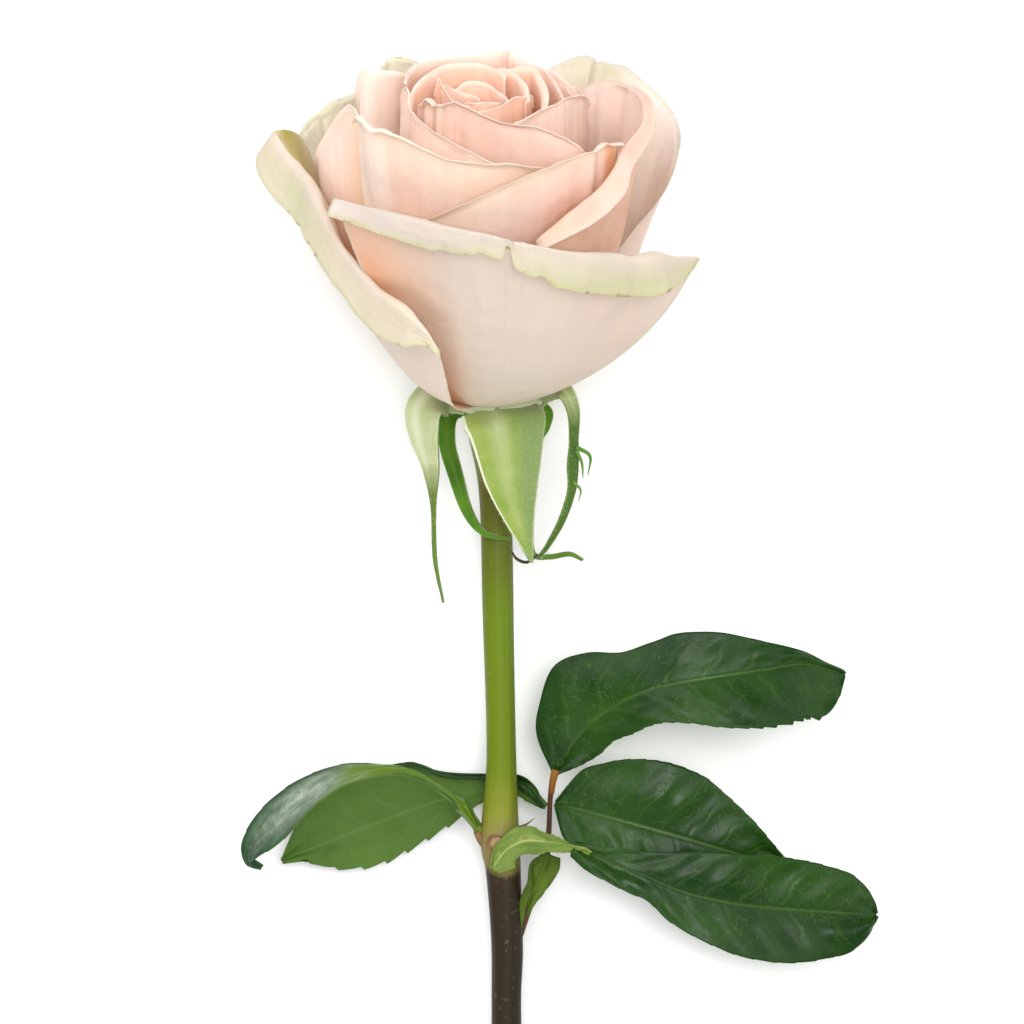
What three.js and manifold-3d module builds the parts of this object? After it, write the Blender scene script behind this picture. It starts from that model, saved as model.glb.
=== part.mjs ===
// A cut rose lying on a flat surface, face up, as it is laid down on a table.
//
// Millimetres. The surface is the plane z = 0 and +Z points up from it. The stem runs
// along Y, with the bloom at the +Y end and the cut end at the -Y end; +X is to the right
// of someone who looks down on the rose with the bloom at the top.
//
// The bloom nods up from the surface. Its petals are described in the bloom's own frame:
// x to the right, f towards the front (up and back from the nodding axis) and h along the
// bloom's axis, all from the point where the petals meet the receptacle. The stem, sepals
// and leaves are described from the point on the surface right below that one.
import * as THREE from "three";
import { mergeVertices } from "three/addons/utils/BufferGeometryUtils.js";
import Module from "manifold-3d";

const wasm = await Module();
wasm.setup();

const { degToRad, radToDeg, lerp, clamp } = THREE.MathUtils;

// Driving dimensions
const BLOOM_NOD = 25; // degrees from the surface up to the bloom's axis
const BASE_HEIGHT = 21; // the receptacle's top above the surface
const PETAL_THICKNESS = 0.7;
const SEPAL_THICKNESS = 0.9;
const LEAF_THICKNESS = 0.7;
const SEAT_GAP = 0.35; // between two pieces that touch on the plant
const PETAL_ROOT_HEIGHT = 0.8; // of a petal's root above the receptacle
const TOOTH_DEPTH = 0.7; // of a leaf's serrated edge
const SLOPE_STEP = 1e-3; // between the two points that a direction is taken from

const AXIS = new THREE.Vector3(0, Math.cos(degToRad(BLOOM_NOD)), Math.sin(degToRad(BLOOM_NOD)));
const FRONT = new THREE.Vector3(0, -AXIS.z, AXIS.y);
const RIGHT = new THREE.Vector3(1, 0, 0);
const BASE = new THREE.Vector3(0, 0, BASE_HEIGHT);

function fromBloom(x, f, h) {
  return BASE.clone().addScaledVector(RIGHT, x).addScaledVector(FRONT, f).addScaledVector(AXIS, h);
}

// A smooth curve through the points, t from 0 to 1.
function curveThrough(points) {
  const curve = new THREE.CatmullRomCurve3(
    points.map((p) => new THREE.Vector3(...p)), false, "catmullrom", 0.5);
  return (t) => curve.getPoint(clamp(t, 0, 1));
}

// A number that passes smoothly through the values, t from 0 to 1.
function valueAlong(values, t) {
  if (values.length === 1) return values[0];
  return curveThrough(values.map((value) => [value, 0, 0]))(t).x;
}

function halfTurn(degrees) {
  return ((degrees + 540) % 360) - 180;
}

function evenly(from, to, steps) {
  return Array.from({ length: steps + 1 }, (_, i) => lerp(from, to, i / steps));
}

// Solids

function closedGeometry(positions, index) {
  return new THREE.BufferGeometry()
    .setAttribute("position", new THREE.Float32BufferAttribute(positions, 3))
    .setIndex(index);
}

// A closed blade: both faces of the middle surface, half the thickness away from it, with
// the same diagonals on each, and a wall round the edge. A margin widens it all round.
// Nothing of it is lower than the surface that the rose lies on.
function blade(surface, us, vs, thickness, margin = 0) {
  const positions = [];
  const edge = (list, i) => (i === list.length - 1) - (i === 0);
  for (const side of [0.5, -0.5]) {
    vs.forEach((v, row) => {
      us.forEach((u, column) => {
        const du = surface(u + SLOPE_STEP, v).sub(surface(u - SLOPE_STEP, v)).normalize();
        const dv = surface(u, v + SLOPE_STEP).sub(surface(u, v - SLOPE_STEP)).normalize();
        const normal = du.clone().cross(dv).normalize();
        const point = surface(u, v)
          .addScaledVector(du, margin * edge(us, column))
          .addScaledVector(dv, margin * edge(vs, row));
        const lowest = normal.z * side < 0 ? 0 : thickness;
        point.addScaledVector(normal, side * thickness);
        positions.push(point.x, point.y, margin ? point.z : Math.max(point.z, lowest));
      });
    });
  }
  const columns = us.length;
  const rows = vs.length;
  const back = columns * rows;
  const index = [];
  for (let row = 0; row + 1 < rows; row++) {
    for (let column = 0; column + 1 < columns; column++) {
      const a = row * columns + column;
      const [b, c, d] = [a + 1, a + columns + 1, a + columns];
      index.push(a, b, c, a, c, d);
      index.push(back + a, back + c, back + b, back + a, back + d, back + c);
    }
  }
  const wall = (from, to) => index.push(from, back + from, back + to, from, back + to, to);
  for (let column = 0; column + 1 < columns; column++) {
    wall(column, column + 1);
    const top = (rows - 1) * columns + column;
    wall(top + 1, top);
  }
  for (let row = 0; row + 1 < rows; row++) {
    const left = row * columns;
    wall(left + columns, left);
    const right = left + columns - 1;
    wall(right, right + columns);
  }
  return closedGeometry(positions, index);
}

// A closed round body along a path, with its own radius at each step and flat ends. The
// ends lie square to the path, or square to endNormals.
function roundBody(path, radii, sides, steps, margin = 0, endNormals = []) {
  const positions = [];
  const index = [];
  const at = curveThrough(path);
  for (let i = 0; i <= steps; i++) {
    const t = i / steps;
    const tangent = at(t + SLOPE_STEP).sub(at(t - SLOPE_STEP)).normalize();
    const across = new THREE.Vector3(1, 0, 0).addScaledVector(tangent, -tangent.x).normalize();
    const up = across.clone().cross(tangent);
    const radius = valueAlong(radii, t) + margin;
    const end = (i === steps) - (i === 0);
    const cut = i === 0 ? endNormals[0] : i === steps ? endNormals[1] : undefined;
    const centre = at(t).addScaledVector(tangent, end * margin);
    for (let k = 0; k < sides; k++) {
      const angle = (2 * Math.PI * k) / sides;
      const offset = across.clone().multiplyScalar(radius * Math.cos(angle))
        .addScaledVector(up, radius * Math.sin(angle));
      if (cut) offset.addScaledVector(tangent, -offset.dot(cut) / tangent.dot(cut));
      offset.add(centre);
      positions.push(offset.x, offset.y, margin ? offset.z : Math.max(offset.z, 0));
    }
  }
  for (let i = 0; i < steps; i++) {
    for (let k = 0; k < sides; k++) {
      const a = i * sides + k;
      const b = i * sides + ((k + 1) % sides);
      index.push(a, a + sides, b + sides, a, b + sides, b);
    }
  }
  for (let k = 1; k + 1 < sides; k++) {
    index.push(0, k, k + 1);
    const last = steps * sides;
    index.push(last, last + k + 1, last + k);
  }
  return closedGeometry(positions, index);
}

function solid(geometry) {
  const merged = mergeVertices(geometry, 1e-4);
  const mesh = new wasm.Mesh({
    numProp: 3,
    vertProperties: Float32Array.from(merged.getAttribute("position").array),
    triVerts: Uint32Array.from(merged.getIndex().array),
  });
  return new wasm.Manifold(mesh);
}

function fused(solids) {
  return solids.reduce((sum, next) => sum.add(next));
}

// What is left of a body beside its neighbours, without the scraps that a cut leaves.
function beside(body, neighbours) {
  const cut = neighbours.reduce((rest, next) => rest.subtract(next), body);
  return cut.decompose().reduce((most, next) => (next.volume() > most.volume() ? next : most));
}

function geometryOf(body) {
  const { vertProperties, triVerts } = body.getMesh();
  return closedGeometry(Array.from(vertProperties), Array.from(triVerts));
}

// Petals

// The middle surface of a petal. u runs from -1 to 1 across it, the way that angles grow
// round the bloom; v from 0 at the root to 1 at the crest of the rim, and on to 2 over the
// lip, which rolls outwards in its first half and runs straight on in the second.
function petalSurface({ rim, root, cup, lean, lip, curl }) {
  const rimAt = curveThrough(rim);
  const [rootAngle, rootHalf, rootRadius] = root;
  const [cupLength, cupAngle, cupTwist = 0] = cup;
  const leanAngle = degToRad(lean[1]);
  return (u, v) => {
    const t = (u + 1) / 2;
    const edge = rimAt(t);
    const rimRadius = Math.hypot(edge.x, edge.y);
    const rimTurn = halfTurn(radToDeg(Math.atan2(edge.x, edge.y)) - rootAngle);
    const body = clamp(v, 0, 1);
    const angle = degToRad(rootAngle + lerp(u * rootHalf, rimTurn, body * (2 - body)));
    const cupHere = degToRad(cupAngle + cupTwist * u);
    const profile = new THREE.CubicBezierCurve(
      new THREE.Vector2(rootRadius, PETAL_ROOT_HEIGHT),
      new THREE.Vector2(rootRadius + cupLength * Math.cos(cupHere),
        PETAL_ROOT_HEIGHT + cupLength * Math.sin(cupHere)),
      new THREE.Vector2(rimRadius - lean[0] * Math.cos(leanAngle),
        edge.z - lean[0] * Math.sin(leanAngle)),
      new THREE.Vector2(rimRadius, edge.z));
    const point = profile.getPoint(body);
    if (lip && v > 1) {
      const turn = degToRad(valueAlong(curl, t));
      const length = valueAlong(lip, t);
      const rolled = Math.min((v - 1) * 2, 1);
      const arc = turn / (length / 2);
      const straight = (Math.min(v, 2) - 1) * length - (rolled * length) / 2;
      const end = leanAngle - turn * rolled;
      point.x += (Math.sin(leanAngle) - Math.sin(end)) / arc + straight * Math.cos(end);
      point.y += (Math.cos(end) - Math.cos(leanAngle)) / arc + straight * Math.sin(end);
    }
    return fromBloom(point.x * Math.sin(angle), point.x * Math.cos(angle), point.y);
  };
}

function petalBlade(petal, [columns, rows], margin = 0) {
  const vs = evenly(0, 1, rows);
  if (petal.lip) vs.push(1.25, 1.5, 2);
  const thickness = PETAL_THICKNESS + 2 * margin;
  return solid(blade(petalSurface(petal), evenly(-1, 1, columns), vs, thickness, margin));
}

// Outer petals: rim as [x, f, h] points, root as [angle, half angle, ring radius], cup as
// [length, angle] of the claw's sweep outwards, lean as [length, angle] of the sweep into
// the rim, where 90 stands straight up and more leans in. lip holds the length of the part
// that rolls outwards, from one end of the rim to the other, and curl how far it turns.
const PETALS = {
  petal_front: {
    rim: [[-34, 25, 55], [-26.5, 31, 55.5], [-14, 37, 54.5], [-3, 41, 54], [2.5, 43, 51.5],
      [13, 42, 49.5], [30, 34, 46], [42.5, 23, 41]],
    root: [5, 34, 8.2], cup: [19, 16, 8], lean: [20, 70],
    lip: [2, 6, 9, 8, 11.5, 13, 13.5, 3], curl: [140, 150, 155, 155, 155, 155, 150, 120],
  },
  petal_left: {
    rim: [[-43, -18, 54], [-46, -13, 56.5], [-43.5, -7, 52], [-40, -1, 49.5], [-37.5, 7, 46.5],
      [-34, 15, 42.5], [-30, 23, 40], [-25, 29, 37], [-19.5, 34, 35], [-14.5, 37, 31]],
    root: [-60, 34, 9.4], cup: [20, 14], lean: [16, 62],
    lip: [2, 7, 12, 12, 11, 10, 10, 9, 7, 1], curl: [110, 120, 125, 125, 130, 135, 140, 150, 150, 140],
  },
  petal_right: {
    rim: [[29.5, 10, 38], [33, 6, 42.5], [37, -1, 47.5], [39, -9, 52], [39, -17, 56],
      [35, -25, 59.5], [29.5, -31, 62.5], [23, -34, 64], [17, -35, 64.5], [11.5, -34, 62]],
    root: [115, 36, 9.4], cup: [20, 18], lean: [22, 88],
    lip: [1, 2, 2, 3, 3, 4, 4, 4, 4, 3], curl: [100],
  },
  petal_back_left: {
    rim: [[-22, -42, 58], [-32, -36, 56.5], [-38.5, -30, 55], [-43, -24, 52], [-44.5, -14, 48]],
    root: [-125, 32, 9.4], cup: [22, 18], lean: [20, 76], lip: [2, 3, 3, 3, 2], curl: [70],
  },
  petal_back: {
    rim: [[21, -43, 52], [11, -49.5, 56], [-1, -51.5, 57.5], [-13, -49.5, 56], [-24, -43, 52]],
    root: [180, 34, 8.2], cup: [24, 14], lean: [24, 68], lip: [1.5, 2, 2, 2, 1.5], curl: [70],
  },
  petal_second_front: {
    rim: [[-23.5, 26, 47], [-17, 32, 54.5], [-3.5, 36, 59], [5.5, 35, 63.5], [12.5, 34, 66.5],
      [17.5, 31, 67.5], [23, 28, 67.5], [26.5, 24, 67]],
    root: [10, 36, 7.2], cup: [20, 22], lean: [22, 84],
  },
  petal_second_right: {
    rim: [[8, 39, 50.5], [14.5, 37, 55.5], [21, 33, 60.5], [26, 26, 66], [31.5, 14, 69],
      [31, 3, 70], [26, -8, 69], [20, -15, 65.5], [16.5, -22, 60.5]],
    root: [75, 40, 7.8], cup: [22, 22], lean: [24, 86],
    lip: [3, 5, 5.5, 5, 3, 1.5, 1, 1, 1], curl: [120],
  },
  petal_second_back_left: {
    rim: [[-8, -34, 63], [-16.5, -32, 65.5], [-23.5, -30, 67.5], [-26, -27, 65.5], [-28, -23, 64]],
    root: [-145, 32, 7.2], cup: [20, 26], lean: [22, 90],
  },
  petal_second_back: {
    rim: [[24, -20, 60], [18, -27, 63], [8, -31, 64], [-4, -31, 63], [-12, -28, 60]],
    root: [165, 34, 6.4], cup: [20, 26], lean: [22, 90],
  },
};

// Petals of the heart, which grow on one core.
const HEART = {
  second_left: {
    rim: [[-38, -24, 44], [-39, -14, 50], [-38.5, -5, 54], [-35.5, 2, 62], [-31.5, 9, 67.5],
      [-27, 12, 68], [-22, 13, 66]],
    root: [-85, 36, 7.2], cup: [22, 24], lean: [24, 90],
  },
  third_left: {
    rim: [[-29.5, 18, 71.5], [-27.5, 21, 72.5], [-25, 24, 71], [-19, 27, 69.5], [-14.5, 29, 67.5],
      [-8.5, 31, 66], [0, 31, 65], [9, 29, 63.5], [14.5, 27, 63]],
    root: [-20, 38, 5.8], cup: [20, 30], lean: [24, 92],
  },
  third_back_left: {
    rim: [[-31, -12, 60.5], [-30, -4, 68.5], [-28, 3, 73], [-24, 8, 75], [-20.5, 12, 75.5],
      [-17.5, 13, 74]],
    root: [-80, 40, 5.2], cup: [20, 34], lean: [24, 96],
  },
  third_back: {
    rim: [[24, -8, 64], [20, -17, 67], [10, -23, 69], [-3, -24, 69], [-14, -21, 68], [-22, -14, 65]],
    root: [175, 40, 5.6], cup: [20, 32], lean: [24, 94],
  },
  fourth_left: {
    rim: [[-20, 2, 69.5], [-19.5, 5, 72.5], [-17.5, 11, 69.5], [-13.5, 17, 68.5], [-8.5, 21, 66.5],
      [-3.5, 24, 64.5], [2, 25, 63]],
    root: [-40, 36, 4.6], cup: [18, 40], lean: [22, 96],
  },
  fourth_front: {
    rim: [[-15, 9, 71], [-12, 11, 72], [-8.5, 13, 72], [-3, 16, 71], [4.5, 20, 70], [9, 22, 69],
      [14, 23, 68], [18.5, 24, 65]],
    root: [10, 38, 4.2], cup: [18, 42], lean: [22, 94],
  },
  fourth_right: {
    rim: [[0.5, 15, 67], [4.5, 16, 68.5], [11, 12, 70], [16, 7, 71], [19, 2, 70], [21.5, -4, 67.5]],
    root: [60, 36, 4], cup: [18, 42], lean: [22, 92],
  },
  crown_back: {
    rim: [[15, -2, 66.5], [13, -10, 68], [10.5, -14, 70], [5, -17, 72], [2, -18, 73], [-5, -18, 72],
      [-12.5, -15, 72], [-16.5, -10, 72], [-19, -4, 70.5]],
    root: [180, 45, 3.6], cup: [16, 46], lean: [22, 94],
  },
  ring: {
    rim: [[7, 1, 69.5], [5, -5, 71], [1.5, -9, 71.5], [-2.5, -11, 72.5], [-7.5, -11, 72.5],
      [-12.5, -8, 72.5], [-16, -3, 72.5], [-17.5, 4, 70.5]],
    root: [-140, 60, 2.6], cup: [14, 50], lean: [20, 92],
  },
  ring_right: {
    rim: [[10, 4, 66.5], [11, 0, 67.5], [10.5, -6, 68.5], [9, -11, 70], [7, -13, 71], [1.5, -12, 71.5]],
    root: [120, 50, 2.4], cup: [14, 50], lean: [20, 92],
  },
  cup_left: {
    rim: [[-11.5, -6, 72], [-11.5, -2, 72], [-10.5, 4, 71], [-9, 8, 70.5], [-7, 10, 71]],
    root: [-70, 50, 2], cup: [12, 55], lean: [20, 92],
  },
  cup_back: {
    rim: [[-11, -3, 70.5], [-7.5, -6, 70], [-4.5, -6, 70.5], [-2, -3, 70.5], [0.5, 1, 70], [2.5, 5, 70]],
    root: [170, 60, 1.6], cup: [12, 55], lean: [20, 90],
  },
  cup_front: {
    rim: [[-5, 9, 70], [-3, 10, 69.5], [2, 8, 70], [4, 5, 70.5], [7.5, 0, 69]],
    root: [20, 60, 1.6], cup: [12, 55], lean: [20, 92],
  },
};

// Sepals and leaves: a spine of [x, y, z] points, the way that the upper face looks at
// even steps along it, and the half width at even steps on the left and the right of
// someone who looks along the spine with that face up. fold lifts the edges.
function leafSurface({ spine, facing, left, right = left, fold = 0, wave = [0, 1, 0], teeth = 0 }) {
  const spineAt = curveThrough(spine);
  const facingAt = curveThrough(facing);
  const [waveHeight, waveCount, wavePhase] = wave;
  return (u, v) => {
    const t = clamp(v, 0, 1);
    const tangent = spineAt(t + SLOPE_STEP).sub(spineAt(t - SLOPE_STEP)).normalize();
    const side = facingAt(t).cross(tangent).normalize();
    const up = tangent.clone().cross(side);
    const w = clamp(u, -1, 1);
    const notch = 0.5 + 0.5 * Math.cos(2 * Math.PI * teeth * t);
    const outer = Math.max(2 * Math.abs(w) - 1, 0);
    const halfWidth = valueAlong(w > 0 ? left : right, t);
    const width = halfWidth - (teeth ? TOOTH_DEPTH * notch * outer * Math.min(halfWidth / 4, 1) : 0);
    const ripple = waveHeight * Math.sin(2 * Math.PI * waveCount * t + wavePhase * Math.sign(w));
    const lift = fold * Math.abs(w) * halfWidth + ripple * w * w;
    return spineAt(t).addScaledVector(side, w * width).addScaledVector(up, lift);
  };
}

function leafBlade(leaf, [columns, rows], thickness, margin = 0) {
  const surface = leafSurface(leaf);
  return solid(blade(surface, evenly(-1, 1, columns), evenly(0, 1, rows), thickness + 2 * margin, margin));
}

// The stem with the receptacle that the bloom sits on, from the cut end up.
const STEM = {
  path: [[2.5, -170.5, 3.4], [2.2, -152, 5.2], [2, -135, 6.9], [2.2, -123, 8], [1.3, -106, 9.6],
    [0.5, -98, 10.4], [0.9, -79, 12.1], [0.2, -46, 15.1], [-0.2, -22, 17.2], [0, -10, 18.3],
    [0, 0, BASE_HEIGHT]],
  radii: [3.6, 3.5, 3.3, 3.5, 3.9, 4.3, 3.3, 3.5, 3.8, 6.2, 7.4],
  cut: new THREE.Vector3(0.25, -1, 0.55),
};

const SEPALS = {
  sepal_left: {
    spine: [[-5.9, -1.8, 21], [-11, -0.5, 23], [-15.7, -3.2, 26], [-16, -9.2, 26], [-14.5, -16.8, 23],
      [-14, -25.6, 20], [-13.7, -36.6, 17], [-12, -46, 13]],
    facing: [[0, -0.6, 0.8], [-0.4, 0.2, 0.9], [-0.5, 0, 0.85], [-0.3, 0, 0.95]],
    left: [3.6, 4.3, 4, 3, 1.7, 0.8, 0.5, 0.35],
  },
  sepal_back_left: {
    spine: [[-4, -2.6, 17], [-10.2, -3.8, 13.5], [-11.1, -10.1, 15], [-9.1, -17.8, 17], [-6.4, -26, 20.5],
      [-2.8, -30, 23], [2.4, -31.5, 23]],
    facing: [[0, -0.6, 0.8], [-0.3, 0, 0.95], [-0.3, 0, 0.95]],
    left: [2.4, 2.2, 1.9, 1.7, 1.2, 0.6, 0.35],
  },
  sepal_front: {
    spine: [[0.7, -3, 28.2], [1.8, -6, 31.5], [2.4, -10.4, 32], [3.3, -19.1, 30.5], [5, -27.7, 28],
      [7.7, -37, 25]],
    facing: [[0, -0.5, 0.85], [0, 0, 1], [0, 0, 1]],
    left: [8.6, 8.8, 7.8, 5.9, 3.2, 0.35], fold: -0.15,
  },
  sepal_right: {
    spine: [[7.3, -1.8, 22], [10.5, 0.3, 26], [14.4, 0.5, 29], [16.6, -3.8, 30], [16.8, -10.3, 28],
      [16.6, -15.7, 26], [16.4, -21.2, 25], [14.3, -27.8, 23], [11.2, -33.3, 22], [9.2, -35.9, 21]],
    facing: [[0, -0.6, 0.8], [0.4, 0.2, 0.9], [0.5, 0, 0.85], [0.3, 0, 0.95]],
    left: [3, 2.6, 2, 1.5, 1.1, 1.4, 1, 0.8, 0.5, 0.35],
  },
  sepal_back_right: {
    spine: [[4.2, -2.6, 17.5], [10.2, -3.5, 14.5], [10.4, -6.8, 14.5], [8.4, -11.2, 15], [7.6, -18.9, 15],
      [7.2, -27.8, 16], [8, -35.1, 17], [11.7, -35.9, 17], [16.1, -35.3, 16], [19, -36.6, 15]],
    facing: [[0, -0.6, 0.8], [0.3, 0, 0.95], [0.3, 0, 0.95]],
    left: [2.2, 1.8, 1.4, 1.1, 1, 0.8, 0.6, 0.5, 0.4, 0.35],
  },
};

const LEAVES = {
  leaf_left: {
    stalk: { path: [[-3, -98.5, 10.5], [-6.5, -92.6, 13], [-13.3, -86.8, 16]], radii: [1.4, 1, 0.8] },
    blades: [{
      spine: [[-7.5, -91.5, 13.6], [-13.3, -86.8, 16], [-20.5, -83.2, 18], [-27.6, -82.9, 19],
        [-34.7, -84.7, 18], [-42.5, -89, 16], [-49.3, -94.8, 13], [-54.3, -100.8, 10], [-54.5, -105, 8.5]],
      facing: [[-0.6, 0.8, 0.1], [-0.5, 0.8, 0.1], [-0.1, 0.95, 0.25], [-0.3, 0.7, 0.6], [-0.5, 0.4, 0.7],
        [-0.7, 0.2, 0.7]],
      left: [1, 1.6, 2.6, 4.5, 7, 7.6, 6.4, 3.8, 0.5], fold: 0.12, teeth: 12,
    }],
  },
  leaf_lower_right: {
    stalk: { path: [[2.5, -101, 14], [10.6, -99.6, 16.5], [20.5, -101.6, 19]], radii: [1.5, 1.1, 0.8] },
    blades: [
      {
        spine: [[-0.5, -103, 14.6], [2, -101.5, 16.4], [7, -99.4, 17.2], [13, -99.6, 17.8], [19.5, -101.4, 19]],
        facing: [[0, -0.3, 0.95], [0, 0, 1], [0, 0, 1]],
        left: [2, 2.8, 3.1, 2.6, 0.9],
      },
      {
        spine: [[18, -101, 18.6], [31.5, -105.9, 20], [42.5, -108.9, 19.5], [53.6, -111.6, 18],
          [67.1, -113.5, 15], [76.1, -114.8, 13], [84.2, -116, 11]],
        facing: [[0, 0.1, 1], [0, 0.1, 1], [0.1, 0.1, 1], [0.2, 0.1, 1]],
        left: [0.7, 5.4, 8, 10.3, 10.3, 7.2, 0.5], right: [2.8, 5.6, 8.8, 12, 12, 8, 0.5],
        fold: 0.12, teeth: 14, wave: [0.5, 2, 0.4],
      },
    ],
  },
  leaf_compound: {
    stalk: { path: [[4.5, -121, 8], [7.8, -111.3, 9], [10.8, -103.5, 10], [11.5, -96.7, 10.5],
      [11.7, -91.4, 11], [12.3, -84, 12.5]], radii: [1.1, 1.2, 1.2, 1, 0.9, 0.8] },
    blades: [
      {
        spine: [[6, -118, 8.2], [8.2, -110.3, 9], [10.8, -104, 9.6], [11.6, -100.5, 10]],
        facing: [[0.3, 0, 0.95], [0.3, 0, 0.95]],
        left: [1.2, 2.4, 3.3, 2], fold: 0.3,
      },
      {
        spine: [[11.7, -89, 11.4], [14.4, -82.1, 13], [18.4, -77.6, 15], [24.9, -70.8, 18],
          [31.5, -66.7, 20], [42.5, -63.4, 21], [53.5, -61.5, 20], [66.9, -59.4, 17], [77.5, -62, 14]],
        facing: [[0, 0.2, 1], [0, 0.2, 1], [0, 0.2, 1], [0.15, 0.2, 1]],
        left: [0.8, 7.6, 12.2, 15.6, 13.6, 11, 8.2, 2.6, 0.5],
        right: [0.8, 2.6, 4.2, 6.2, 8, 9.4, 12.4, 12.6, 0.5],
        fold: 0.1, teeth: 15, wave: [0.5, 2, 0.3],
      },
      {
        spine: [[12.5, -91.6, 11.2], [17.3, -92.6, 12], [22.8, -93.9, 13], [31.7, -96, 14],
          [40.5, -98.7, 14], [48.4, -101, 12.5], [56.2, -102.7, 11], [64.1, -103.5, 9]],
        facing: [[0, 0.1, 1], [0, 0.1, 1], [0.15, 0.1, 1]],
        left: [0.8, 8, 11.6, 15.4, 14.6, 11, 6, 0.5], right: [0.8, 7, 9.5, 11, 10.5, 8.5, 5, 0.5],
        fold: 0.12, teeth: 13,
      },
      {
        spine: [[11.2, -91, 10.8], [8.5, -87.9, 9.6], [3.7, -86.5, 6], [-3, -87.2, 4], [-12.8, -89, 3.8],
          [-21.8, -92.3, 4], [-30.7, -96.1, 4.4], [-39.7, -100.1, 5], [-47.7, -103.8, 6]],
        facing: [[0, 0, -1], [0, 0, -1]],
        left: [0.8, 1.2, 1.6, 1.8, 4.6, 8, 11, 10, 0.5], right: [0.8, 1.4, 2, 3.3, 8.1, 10.8, 10, 6, 0.5],
        teeth: 14,
      },
    ],
  },
};

// The core that the heart's petals stand out of, along the bloom's axis.
const CORE = {
  path: [fromBloom(0, 0, PETAL_ROOT_HEIGHT - 0.3), fromBloom(-0.5, 0, 20), fromBloom(-1.5, -0.5, 40),
    fromBloom(-2, -1, 62)].map((point) => point.toArray()),
  radii: [4.4, 9.5, 10.5, 6.5],
};

const rose = new THREE.Group();

function place(name, body, colour, roughness) {
  const material = new THREE.MeshStandardMaterial({ color: colour, roughness, metalness: 0 });
  const mesh = new THREE.Mesh(geometryOf(body), material);
  mesh.name = name;
  rose.add(mesh);
}

// Steps across and along each kind of blade
const PETAL_GRID = [10, 6];
const HEART_GRID = [8, 5];
const SEPAL_GRID = [2, 12];
const LEAF_COLUMNS = 4;
const BRACT_ROWS = 8;

const thorn = { path: [[3.6, -96.5, 11], [6.4, -95.4, 11.4], [8.3, -94, 11.6]], radii: [1.3, 0.7, 0.3] };

const stemBody = (margin) => fused([
  solid(roundBody(STEM.path, STEM.radii, 14, 30, margin, [STEM.cut, AXIS])),
  solid(roundBody(thorn.path, thorn.radii, 6, 3, margin)),
]);

const heartBody = (margin) => fused([
  solid(roundBody(CORE.path, CORE.radii, 10, 6, margin)),
  ...Object.values(HEART).map((petal) => petalBlade(petal, HEART_GRID, margin)),
]);

const leafBody = ({ stalk, blades }, margin) => fused([
  solid(roundBody(stalk.path, stalk.radii, 8, 10, margin)),
  ...blades.map((leaf) => {
    const rows = leaf.teeth ? 2 * leaf.teeth : BRACT_ROWS;
    return leafBlade(leaf, [LEAF_COLUMNS, rows], LEAF_THICKNESS, margin);
  }),
]);

// Each piece is cut clear of the ones that are already in place, from the inside out.
const taken = [];

function grow(name, body, colour, roughness) {
  place(name, beside(body(0), taken), colour, roughness);
  taken.push(body(SEAT_GAP));
}

grow("stem", stemBody, 0x7e9434, 0.55);
grow("heart_petals", heartBody, 0xf6d3c2, 0.6);
for (const [name, petal] of Object.entries(PETALS)) {
  grow(name, (margin) => petalBlade(petal, PETAL_GRID, margin), 0xf3dccb, 0.6);
}
for (const [name, sepal] of Object.entries(SEPALS)) {
  grow(name, (margin) => leafBlade(sepal, SEPAL_GRID, SEPAL_THICKNESS, margin), 0x9cb760, 0.7);
}
for (const [name, leaf] of Object.entries(LEAVES)) {
  grow(name, (margin) => leafBody(leaf, margin), 0x1f4a22, 0.35);
}

// The origin is the middle of the whole rose, on the surface.
const box = new THREE.Box3().setFromObject(rose);
const middle = box.getCenter(new THREE.Vector3());
rose.position.set(-middle.x, -middle.y, -box.min.z);

export default rose;
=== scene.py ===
# A cut rose lying face up on a pale surface, seen from straight above.
#
# Shapes are worked out in millimetres from the point on the surface right below the place
# where the petals meet the receptacle: x to the right, y towards the bloom, z up. They are
# moved to the rose's own frame, in metres, as each mesh is made.
import math
import random

import bmesh
import bpy
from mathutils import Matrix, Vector, noise


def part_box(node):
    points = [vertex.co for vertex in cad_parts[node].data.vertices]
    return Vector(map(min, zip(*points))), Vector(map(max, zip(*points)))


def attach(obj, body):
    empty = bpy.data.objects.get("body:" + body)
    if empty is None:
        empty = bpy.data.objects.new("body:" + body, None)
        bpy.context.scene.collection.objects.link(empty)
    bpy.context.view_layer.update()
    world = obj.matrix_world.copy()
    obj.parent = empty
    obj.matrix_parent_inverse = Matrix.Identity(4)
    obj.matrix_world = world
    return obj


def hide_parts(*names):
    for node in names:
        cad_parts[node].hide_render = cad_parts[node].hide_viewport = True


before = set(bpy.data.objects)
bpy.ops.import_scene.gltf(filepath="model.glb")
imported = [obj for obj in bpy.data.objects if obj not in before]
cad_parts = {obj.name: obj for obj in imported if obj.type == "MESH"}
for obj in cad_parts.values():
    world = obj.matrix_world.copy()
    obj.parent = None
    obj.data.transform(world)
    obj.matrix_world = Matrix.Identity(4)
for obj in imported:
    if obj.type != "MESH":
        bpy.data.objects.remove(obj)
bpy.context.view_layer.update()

random.seed(11)

MM = 0.001
STEM_LOW_CORNER = Vector((-7.4, -172.75, 0))  # of the box round the stem
ORIGIN = Vector(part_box("stem")[0]) / MM - STEM_LOW_CORNER

# The bloom nods up from the surface. x is to its right, f to its front, h along its axis.
BLOOM_NOD = math.radians(25)
BASE = Vector((0, 0, 21))
RIGHT = Vector((1, 0, 0))
AXIS = Vector((0, math.cos(BLOOM_NOD), math.sin(BLOOM_NOD)))
FRONT = Vector((0, -AXIS.z, AXIS.y))

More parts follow.
